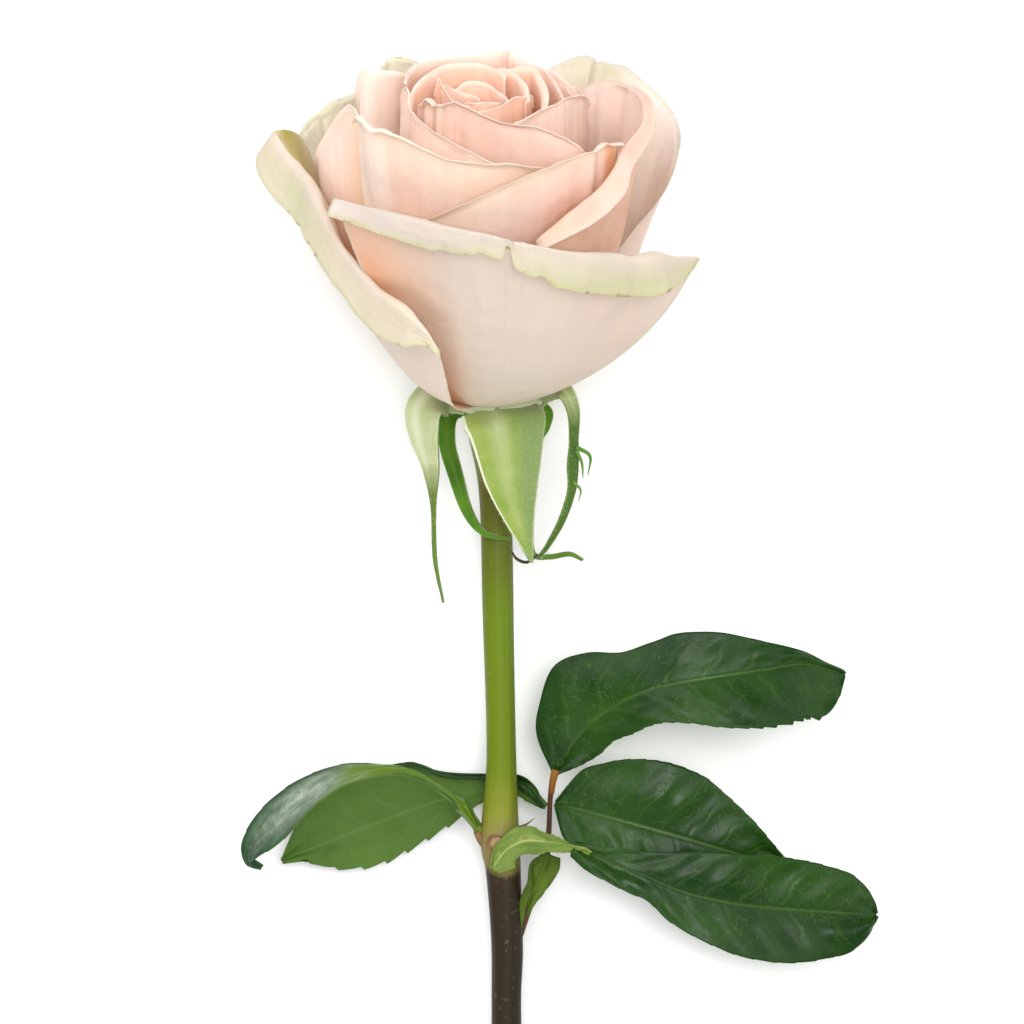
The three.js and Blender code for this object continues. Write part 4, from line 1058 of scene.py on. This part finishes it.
HAIR_LENGTH = 0.8
HAIR_RADIUS = 0.045
HAIR_TIP = 0.2  # how thin it ends, as a share of its radius
HAIR_LIFT = 0.2  # how far over the blade's middle it is rooted
HAIR_OUT = 0.45  # how far out its own middle is, as a share of its length
MARGIN = 0.93  # where the margin's hairs begin, as a share of the half width
HAIR_COUNTS = {"sepal_left": (260, 120), "sepal_front": (260, 260), "sepal_right": (260, 120)}


def wool(name, surface, counts, skin, node):
    """Fine hairs on a blade: counts on its margins and on its upper face."""
    bm = bmesh.new()
    bm.loops.layers.uv.new("blade")
    margin, face = counts
    for k in range(margin + face):
        if k < margin:
            u = random.choice((-1, 1)) * random.uniform(MARGIN, 1)
            v = random.random() ** 0.8
        else:
            u, v = random.uniform(-0.95, 0.95), random.random()
        here = surface(u, v)
        across = (surface(min(u + 0.02, 1), v) - surface(max(u - 0.02, -1), v)).normalized()
        along = (surface(u, min(v + 0.01, 1)) - surface(u, max(v - 0.01, 0))).normalized()
        up = across.cross(along)
        up = (up if up.z > 0 else -up).normalized()
        out = across * (1 if u > 0 else -1) * (1.0 if k < margin else random.uniform(-0.6, 0.6))
        way = (out + up * random.uniform(0.1, 0.7) + along * random.uniform(0.1, 0.8)).normalized()
        reach = HAIR_LENGTH * random.uniform(0.5, 1)
        made = bmesh.ops.create_cone(bm, cap_ends=True, segments=3, radius1=HAIR_RADIUS,
                                     radius2=HAIR_RADIUS * HAIR_TIP, depth=reach)
        turn = way.to_track_quat("Z", "Y")
        for vert in made["verts"]:
            vert.co = here + up * HAIR_LIFT + turn @ (vert.co + Vector((0, 0, reach * HAIR_OUT)))
            vert.co.z = max(vert.co.z, LOWEST)
    finished(name, bm, [skin], node)


CALYX_RIM = [[-9.5, -1.5, 22.5], [-6, -2.6, 25.8], [0, -3, 27.6], [6, -2.6, 25.8], [9.5, -1.2, 22.5]]

# Side lobes and a dry tip: the sepal that each is on, its path and its radii
THREADS = {
    "sepal_lobe_upper": ("sepal_right", [[17.2, -11.8, 28], [20.3, -13.8, 28], [19.9, -17.9, 27]],
                         [0.5, 0.35, 0.1]),
    "sepal_lobe_lower": ("sepal_right", [[17.4, -12.5, 27.6], [18.6, -15.5, 27], [18.8, -18.6, 26]],
                         [0.4, 0.3, 0.08]),
    "sepal_lobe_last": ("sepal_right", [[16.8, -19.5, 25.4], [18.3, -21.2, 25.4], [17.9, -23.6, 25]],
                        [0.4, 0.25, 0.08]),
    "sepal_hook": ("sepal_back_right",
                   [[3.2, -34.6, 23.4], [4.4, -36.3, 23.8], [6.6, -37, 23.6], [9, -35.5, 19]],
                   [0.15, 0.35, 0.35, 0.3]),
}


def sepals():
    left = woolly_skin("sepal_left_wool", face=(0.34, 0.38, 0.17), pale=(0.45, 0.48, 0.29),
                       stripe=(0.58, 0.6, 0.43), stripe_place=0.3, tail=(0.62, (0.1, 0.15, 0.015)))
    right = woolly_skin("sepal_right_wool", face=(0.2, 0.28, 0.07), pale=(0.3, 0.37, 0.15),
                        stripe=(0.42, 0.46, 0.27), tail=(0.36, (0.05, 0.11, 0.008)))
    front = woolly_skin("sepal_front_wool", face=(0.17, 0.26, 0.03), pale=(0.25, 0.32, 0.07),
                        stripe=(0.42, 0.47, 0.25), stripe_place=0.4, shade=(0.15, 0.22, 0.08))
    green = woolly_skin("sepal_back", face=(0.03, 0.12, 0.002), pale=(0.08, 0.21, 0.004),
                        stripe=(0.12, 0.2, 0.02))
    rim = woolly_skin("calyx_wool", face=(0.34, 0.39, 0.17), pale=(0.45, 0.48, 0.28),
                      stripe=(0.55, 0.58, 0.38))
    round_body("calyx_rim", CALYX_RIM, [1, 1.8, 1.9, 1.8, 1], 16, 60, [rim], "stem")
    hair = plain_finish("hair_skin", (0.5, 0.55, 0.36), (0.6, 0.63, 0.46), 300, 0.6)
    lobe = plain_finish("sepal_lobe_skin", (0.05, 0.16, 0.01), (0.12, 0.24, 0.04), 300, 0.6)
    dried = plain_finish("sepal_tip_skin", (0.02, 0.012, 0.006), (0.06, 0.05, 0.02), 300, 0.6)
    for name, (part, path, radii) in THREADS.items():
        round_body(name, path, radii, 10, 24, [dried if name == "sepal_hook" else lobe], part)
    for i, (name, shape) in enumerate(SEPALS.items()):
        woolly = name in HAIR_COUNTS
        upper = {"sepal_front": front, "sepal_right": right}.get(name, left)
        finishes = [green, upper] if woolly else [upper, green]
        blade(name + "_fine", leaf_surface(**shape), (16, 110), finishes, name,
              SEPAL_THICKNESS, relief=ruffle(i * 5.1 + 2, 0.3, 1.5))
        if woolly:
            wool(name + "_hairs", leaf_surface(**shape), HAIR_COUNTS[name], hair, name)


# Leaves

# A leaf has a stalk and blades, whose shapes hold what leaf_surface takes.
LEAVES = {
    "leaf_left": dict(
        stalk=dict(path=[[-3, -98.5, 10.5], [-6.8, -92.3, 12.4], [-13.3, -87, 15.2]],
                   radii=[1.4, 0.9, 0.7]),
        blades=dict(
            leaf_left_blade=dict(
                spine=[[-4.4, -95.8, 12.6], [-8, -90.8, 14], [-13.3, -86.8, 16], [-20.5, -83.2, 18],
                       [-27.6, -82.9, 19], [-34.7, -84.7, 18], [-42.5, -89, 16], [-49.3, -94.8, 13],
                       [-54.3, -100.4, 10], [-55.2, -103.6, 8.6], [-52.4, -105.2, 9.4]],
                facing=[[-0.5, 0.6, 0.5], [-0.5, 0.75, 0.3], [-0.1, 0.9, 0.3], [-0.2, 0.85, 0.45],
                        [-0.4, 0.55, 0.65], [-0.7, 0.2, 0.7], [-0.5, 0.2, 0.8]],
                left=[0.9, 1.8, 2, 2.6, 4.5, 7, 7.6, 6.4, 3.6, 1.3, 0.5],
                right=[0.9, 1.8, 1.9, 2.2, 3.4, 4.6, 5.6, 5.4, 3.4, 1.3, 0.5],
                fold=0.12, teeth=(14, 14), depth=0.2))),
    "leaf_lower_right": dict(
        stalk=dict(path=[[1.5, -100.5, 12.4], [10.6, -99.6, 16.4], [20.5, -101.3, 19]],
                   radii=[1.2, 0.9, 0.7]),
        blades=dict(
            leaf_lower_right_stipule=dict(
                spine=[[-1.1, -105.1, 14.4], [1.8, -100.9, 15.6], [6.1, -98.6, 17.4], [11.1, -98.7, 18.3],
                       [16, -99.7, 19], [20.9, -100.7, 19.8]],
                facing=[[0, -0.3, 0.95], [0, 0, 1], [0, 0, 1]],
                left=[0.6, 2.1, 2.9, 3.5, 2.9, 2.1, 1.2, 0.8, 0.1],
                right=[1.8, 4.1, 3, 2.9, 3.1, 2.5, 1.7, 0.9, 0.1],
                teeth=(7, 5), depth=0.35, wave=(0.4, 2, 0.5)),
            leaf_lower_right_blade=dict(
                spine=[[17.2, -99.4, 18.6], [25.1, -102.8, 19.7], [32.9, -106.4, 19.9], [40.9, -109.7, 19.4],
                       [49.3, -111.8, 18.1], [57.9, -113.2, 16.2], [66.7, -114.1, 14.3], [75.4, -114.8, 12.6],
                       [84.2, -115.6, 11]],
                facing=[[0, 0.1, 1], [0, 0.1, 1], [0.1, 0.1, 1], [0.2, 0.1, 1]],
                left=[0.6, 1.6, 3.4, 5.1, 7.1, 9.2, 10.2, 10.8, 11.1, 11.5, 11.3, 10.8, 9.8, 8.8, 7.6],
                right=[2.7, 4.3, 4.7, 4.8, 4.8, 7, 8.7, 10.1, 11.3, 11.8, 12, 11.4, 10.2, 9.2, 8],
                fold=0.1, teeth=(19, 16), depth=0.16, wave=(0.5, 2, 0.4), round_tip=0.12))),
    "leaf_compound": dict(
        stalk=dict(path=[[4.5, -121, 8], [7.8, -111.3, 9], [10.8, -103.5, 10], [11.5, -96.7, 10.5],
                         [11.7, -91.4, 11], [12, -87, 11.9]], radii=[1.1, 1, 0.75, 0.6, 0.55, 0.6]),
        blades=dict(
            leaflet_left_margin=dict(
                spine=[[-24.5, -82.9, 6.5], [-18.8, -82.4, 6.8], [-13.4, -84.3, 7], [-9, -84.9, 7.2],
                       [-3.2, -85.1, 7.6], [4, -85.6, 8.8], [7.4, -87.8, 10], [10.3, -91.6, 11.2]],
                facing=[[0, 0, 1], [0, 0, 1]],
                left=[0.15, 0.5, 0.5, 0.55, 0.6, 1.1, 1.2, 0.4]),
            leaf_compound_stipule=dict(
                spine=[[5.1, -119.7, 8.6], [5.9, -116, 9.2], [7.2, -112.4, 9.9], [8.6, -108.9, 10.4],
                       [10.1, -105.4, 10.9], [11.5, -101.9, 11.4]],
                facing=[[0.3, 0, 0.95], [0.3, 0, 0.95]],
                left=[0.3, 1.2, 1.7, 2.1, 2.4, 2.8, 3.1, 2.9, 1.6],
                right=[0.6, 1, 1, 1.2, 1.9, 2.5, 2.9, 3.2, 2.4], fold=0.4),
            leaflet_upper=dict(
                spine=[[12.9, -84.2, 11.3], [17.7, -76.4, 13.9], [24.4, -70, 17], [32.2, -65.5, 19.7],
                       [41, -63.5, 20.8], [50, -62, 20.5], [59.1, -60.6, 18.9], [68.3, -59.4, 16.5],
                       [77.1, -61.7, 14]],
                facing=[[0, 0.2, 1], [0, 0.2, 1], [0, 0.2, 1], [0.15, 0.2, 1]],
                left=[0.4, 7.5, 11.8, 15.1, 13.4, 9.9, 10, 10.8, 10.3, 9.3, 7.4, 5.3, 2.9, 1.2, 0.8],
                right=[0.4, 4.3, 6.1, 6.3, 7.6, 7.9, 8.3, 9.4, 11.1, 12.5, 13.4, 13.5, 13, 12.6, 11.5],
                fold=0.1, teeth=(0, 24), depth=0.9, wave=(0.5, 2, 0.3), toothed_from=0.62,
                round_tip=0.05),
            leaflet_right=dict(
                spine=[[12.9, -90.7, 11.2], [19.4, -92.3, 12.4], [25.9, -94, 13.2], [32.4, -95.8, 13.6],
                       [38.9, -97.6, 13.6], [45.4, -99.5, 13], [52, -101.4, 12], [58.6, -103.4, 10.6],
                       [65.2, -105.3, 9]],
                facing=[[0, 0.1, 1], [0, 0.1, 1], [0.15, 0.1, 1]],
                left=[0.5, 8.3, 11, 13, 14.3, 15.1, 15.3, 14.9, 14.2, 12.5, 10.6, 8.4, 6, 3.4, 0.5],
                right=[0.5, 7, 9.1, 10.3, 10.8, 11.1, 11.2, 11.2, 10.8, 10.3, 9.4, 8.2, 6.5, 4.4, 0.5],
                fold=0.12, teeth=(18, 14), depth=0.16),
            leaflet_left=dict(
                spine=[[10.9, -91.4, 10.8], [5, -87.2, 7.2], [-2.9, -88, 4.2], [-10.7, -89.9, 3.8],
                       [-18.3, -92.4, 3.9], [-25.9, -95.1, 4.2], [-33.3, -98, 4.7], [-40.8, -100.9, 5.3],
                       [-48.1, -104, 6]],
                facing=[[0, 0, -1], [0, 0, -1]],
                left=[0.5, 1.2, 2, 2.5, 3.5, 5.3, 8.2, 10.4, 11.5, 12.3, 12.4, 11.3, 8.8, 4.8, 0.5],
                right=[0.7, 2.1, 2.3, 2.9, 3.7, 5.5, 6.8, 7.9, 8.9, 9.5, 9.2, 8, 5.8, 2.3, 0.5],
                teeth=(0, 12), depth=0.9))),
}

LEAF_GRID = (44, 168)
STIPULE_GRID = (20, 60)
VEIN_PAIRS = 9
VEIN_SLANT = 0.13
VEIN_BEND = 1.25
RIB_WIDTH = 0.035
VEIN_WIDTH = 0.045
VEIN_DEPTH = 0.22
CUSHION_HEIGHT = 0.12
WAVE_HEIGHT = 1.4


def side_phase(u, v, pairs):
    """Goes up by 1 from each side vein to the next one towards the tip."""
    return pairs * (v - VEIN_SLANT * abs(u) ** VEIN_BEND) + (TOOTH_SHIFT if u > 0 else 0)


def vein_lines(pairs):
    """How near a point of a leaf is to its midrib or a side vein, from 0 to 1."""
    def near(u, v):
        out = abs(u)
        phase = side_phase(u, v, pairs) + 0.3 * noise.noise(Vector((u * 2.5, v * 9, 4)))
        side = bell(abs(phase % 1 - 0.5), 0, VEIN_WIDTH) * ease(0.02, 0.1, out) * (1 - ease(0.6, 0.95, out))
        rib = bell(u, 0, RIB_WIDTH)
        return max(rib * (1 - ease(0.9, 0.98, v)), 0.5 * side * (1 - ease(0.85, 0.95, v)))
    return near


def quilting(seed, pairs):
    """A leaf's surface: sunk veins with soft cushions between them, as seen from above. The
    blade's own normals point down."""
    near = vein_lines(pairs)

    def lift(u, v):
        out = abs(u)
        swell = CUSHION_HEIGHT * math.cos(2 * math.pi * side_phase(u, v, pairs))
        cushion = swell * ease(0, 0.4, out) * (1 - ease(0.75, 1, out))
        waves = WAVE_HEIGHT * noise.noise(Vector((u * 1.2, v * 4.2, seed)))
        return VEIN_DEPTH * near(u, v) + cushion - waves * ease(0, 0.5, out)
    return lift


def leaves():
    upper = leaf_skin("leaf_upper_face", face=(0.003, 0.026, 0.0005), cloudy=(0.014, 0.056, 0.002),
                      vein_colour=(0.07, 0.14, 0.02), roughness=0.33, rib=0.35, specular=0.2)
    # The arched leaf has a painted highlight down its middle
    arched = leaf_skin("arched_leaf_face", face=(0.012, 0.048, 0.014), cloudy=(0.05, 0.11, 0.045),
                       vein_colour=(0.15, 0.24, 0.12), roughness=0.34, rib=0.3, specular=0.27,
                       band=(0.085, 0.155, 0.009), painted_gloss=(0.36, 0.43, 0.33))
    under = leaf_skin("leaf_underside", face=(0.056, 0.12, 0.014), cloudy=(0.072, 0.145, 0.02),
                      vein_colour=(0.1, 0.18, 0.035), roughness=0.62, rib=0.6, specular=0.2)
    fresh = leaf_skin("stipule_skin", face=(0.1, 0.17, 0.02), cloudy=(0.16, 0.22, 0.045),
                      vein_colour=(0.36, 0.4, 0.13), roughness=0.55, rib=0.9, specular=0.3)
    dark = leaf_skin("bract_skin", face=(0.03, 0.06, 0.002), cloudy=(0.07, 0.12, 0.006),
                     vein_colour=(0.12, 0.17, 0.02), roughness=0.55, rib=0.9, specular=0.2)
    petiole = plain_finish("petiole_skin", (0.14, 0.21, 0.02), (0.11, 0.16, 0.02), 90, 0.45)
    dark_stalk = plain_finish("dark_stalk_skin", (0.035, 0.014, 0.01), (0.1, 0.04, 0.015), 90, 0.45)
    light_stalk = plain_finish("light_stalk_skin", (0.22, 0.09, 0.012), (0.12, 0.04, 0.01), 150, 0.45)
    joint = plain_finish("petiole_joint_skin", (0.14, 0.08, 0.03), (0.2, 0.13, 0.05), 200, 0.5)
    round_body("leaflet_upper_stalk", [[12, -88.5, 12], [12.4, -85.5, 12.3], [13, -83.2, 12.6]],
               [0.65, 0.8, 0.9], 16, 20, [light_stalk], "leaf_compound")
    round_body("leaf_left_joint", [[-4.6, -97, 12.2], [-3.7, -98.4, 11.6], [-2.9, -100, 10.8]],
               [0.7, 1, 0.9], 16, 20, [joint], "leaf_left")
    stipules = {"leaf_lower_right_stipule": fresh, "leaf_compound_stipule": dark}
    for i, (name, leaf) in enumerate(LEAVES.items()):
        stalk = leaf["stalk"]
        round_body(name + "_petiole", stalk["path"], stalk["radii"], 20, 60,
                   [dark_stalk if name == "leaf_compound" else petiole], name)
        for k, (part, shape) in enumerate(leaf["blades"].items()):
            finishes = [under, arched if name == "leaf_left" else upper]
            if part == "leaflet_left_margin":
                finishes = [upper, upper]
            grid, pairs = LEAF_GRID, VEIN_PAIRS
            if part in stipules:
                finishes = [stipules[part], stipules[part]]
                grid, pairs = STIPULE_GRID, 0
            blade(part, leaf_surface(**shape), grid, finishes, name, LEAF_THICKNESS,
                  relief=quilting(i * 7 + k * 3, pairs), vein=vein_lines(pairs))


# Floor, lights and camera

FLOOR_REACH = 3
FLOOR_TONE = (0.92, 0.92, 0.92, 1)
WORLD_LIGHT = 0.55

# The spots are in metres from the origin.
LIGHTS = {
    "key": dict(spot=(-0.45, 0.5, 0.75), size=0.7, power=5.2),
    "top": dict(spot=(0.12, 0.05, 0.95), size=0.4, power=5.2),
    "fill": dict(spot=(0.75, 0.15, 0.55), size=0.8, power=2.8),
    "low": dict(spot=(-0.15, -0.85, 0.5), size=0.6, power=3.4),
}
LENS_LENGTH = 150
SENSOR_WIDTH = 36
CAMERA_PLACE = Vector((3.3, -26, 959))  # in millimetres from the origin


def surroundings():
    bm = bmesh.new()
    bmesh.ops.create_grid(bm, x_segments=1, y_segments=1, size=FLOOR_REACH)
    mesh = bpy.data.meshes.new("floor")
    bm.to_mesh(mesh)
    bm.free()
    floor = bpy.data.objects.new("floor", mesh)
    bpy.context.collection.objects.link(floor)
    material, _, shader = finish("floor_paper")
    settle(shader, Base_Color=FLOOR_TONE, Roughness=0.9, Specular_IOR_Level=0.0)
    mesh.materials.append(material)

    world = bpy.data.worlds.new("studio")
    world.use_nodes = True
    settle(world.node_tree.nodes["Background"], Color=(1, 1, 1, 1), Strength=WORLD_LIGHT)
    bpy.context.scene.world = world

    aim = ORIGIN * MM
    for name, lamp in LIGHTS.items():
        light = bpy.data.lights.new(name, "AREA")
        light.energy = lamp["power"]
        light.size = lamp["size"]
        stand = bpy.data.objects.new(name, light)
        bpy.context.collection.objects.link(stand)
        spot = Vector(lamp["spot"])
        stand.location = aim + spot
        stand.rotation_euler = (-spot).to_track_quat("-Z", "Y").to_euler()

    lens = bpy.data.cameras.new("camera")
    lens.lens = LENS_LENGTH
    lens.sensor_width = SENSOR_WIDTH
    camera = bpy.data.objects.new("camera", lens)
    bpy.context.collection.objects.link(camera)
    camera.location = (ORIGIN + CAMERA_PLACE) * MM
    camera.rotation_euler = (0, 0, 0)
    bpy.context.scene.camera = camera
    bpy.context.scene.view_settings.view_transform = "Standard"


petals()
stem()
sepals()
leaves()
surroundings()
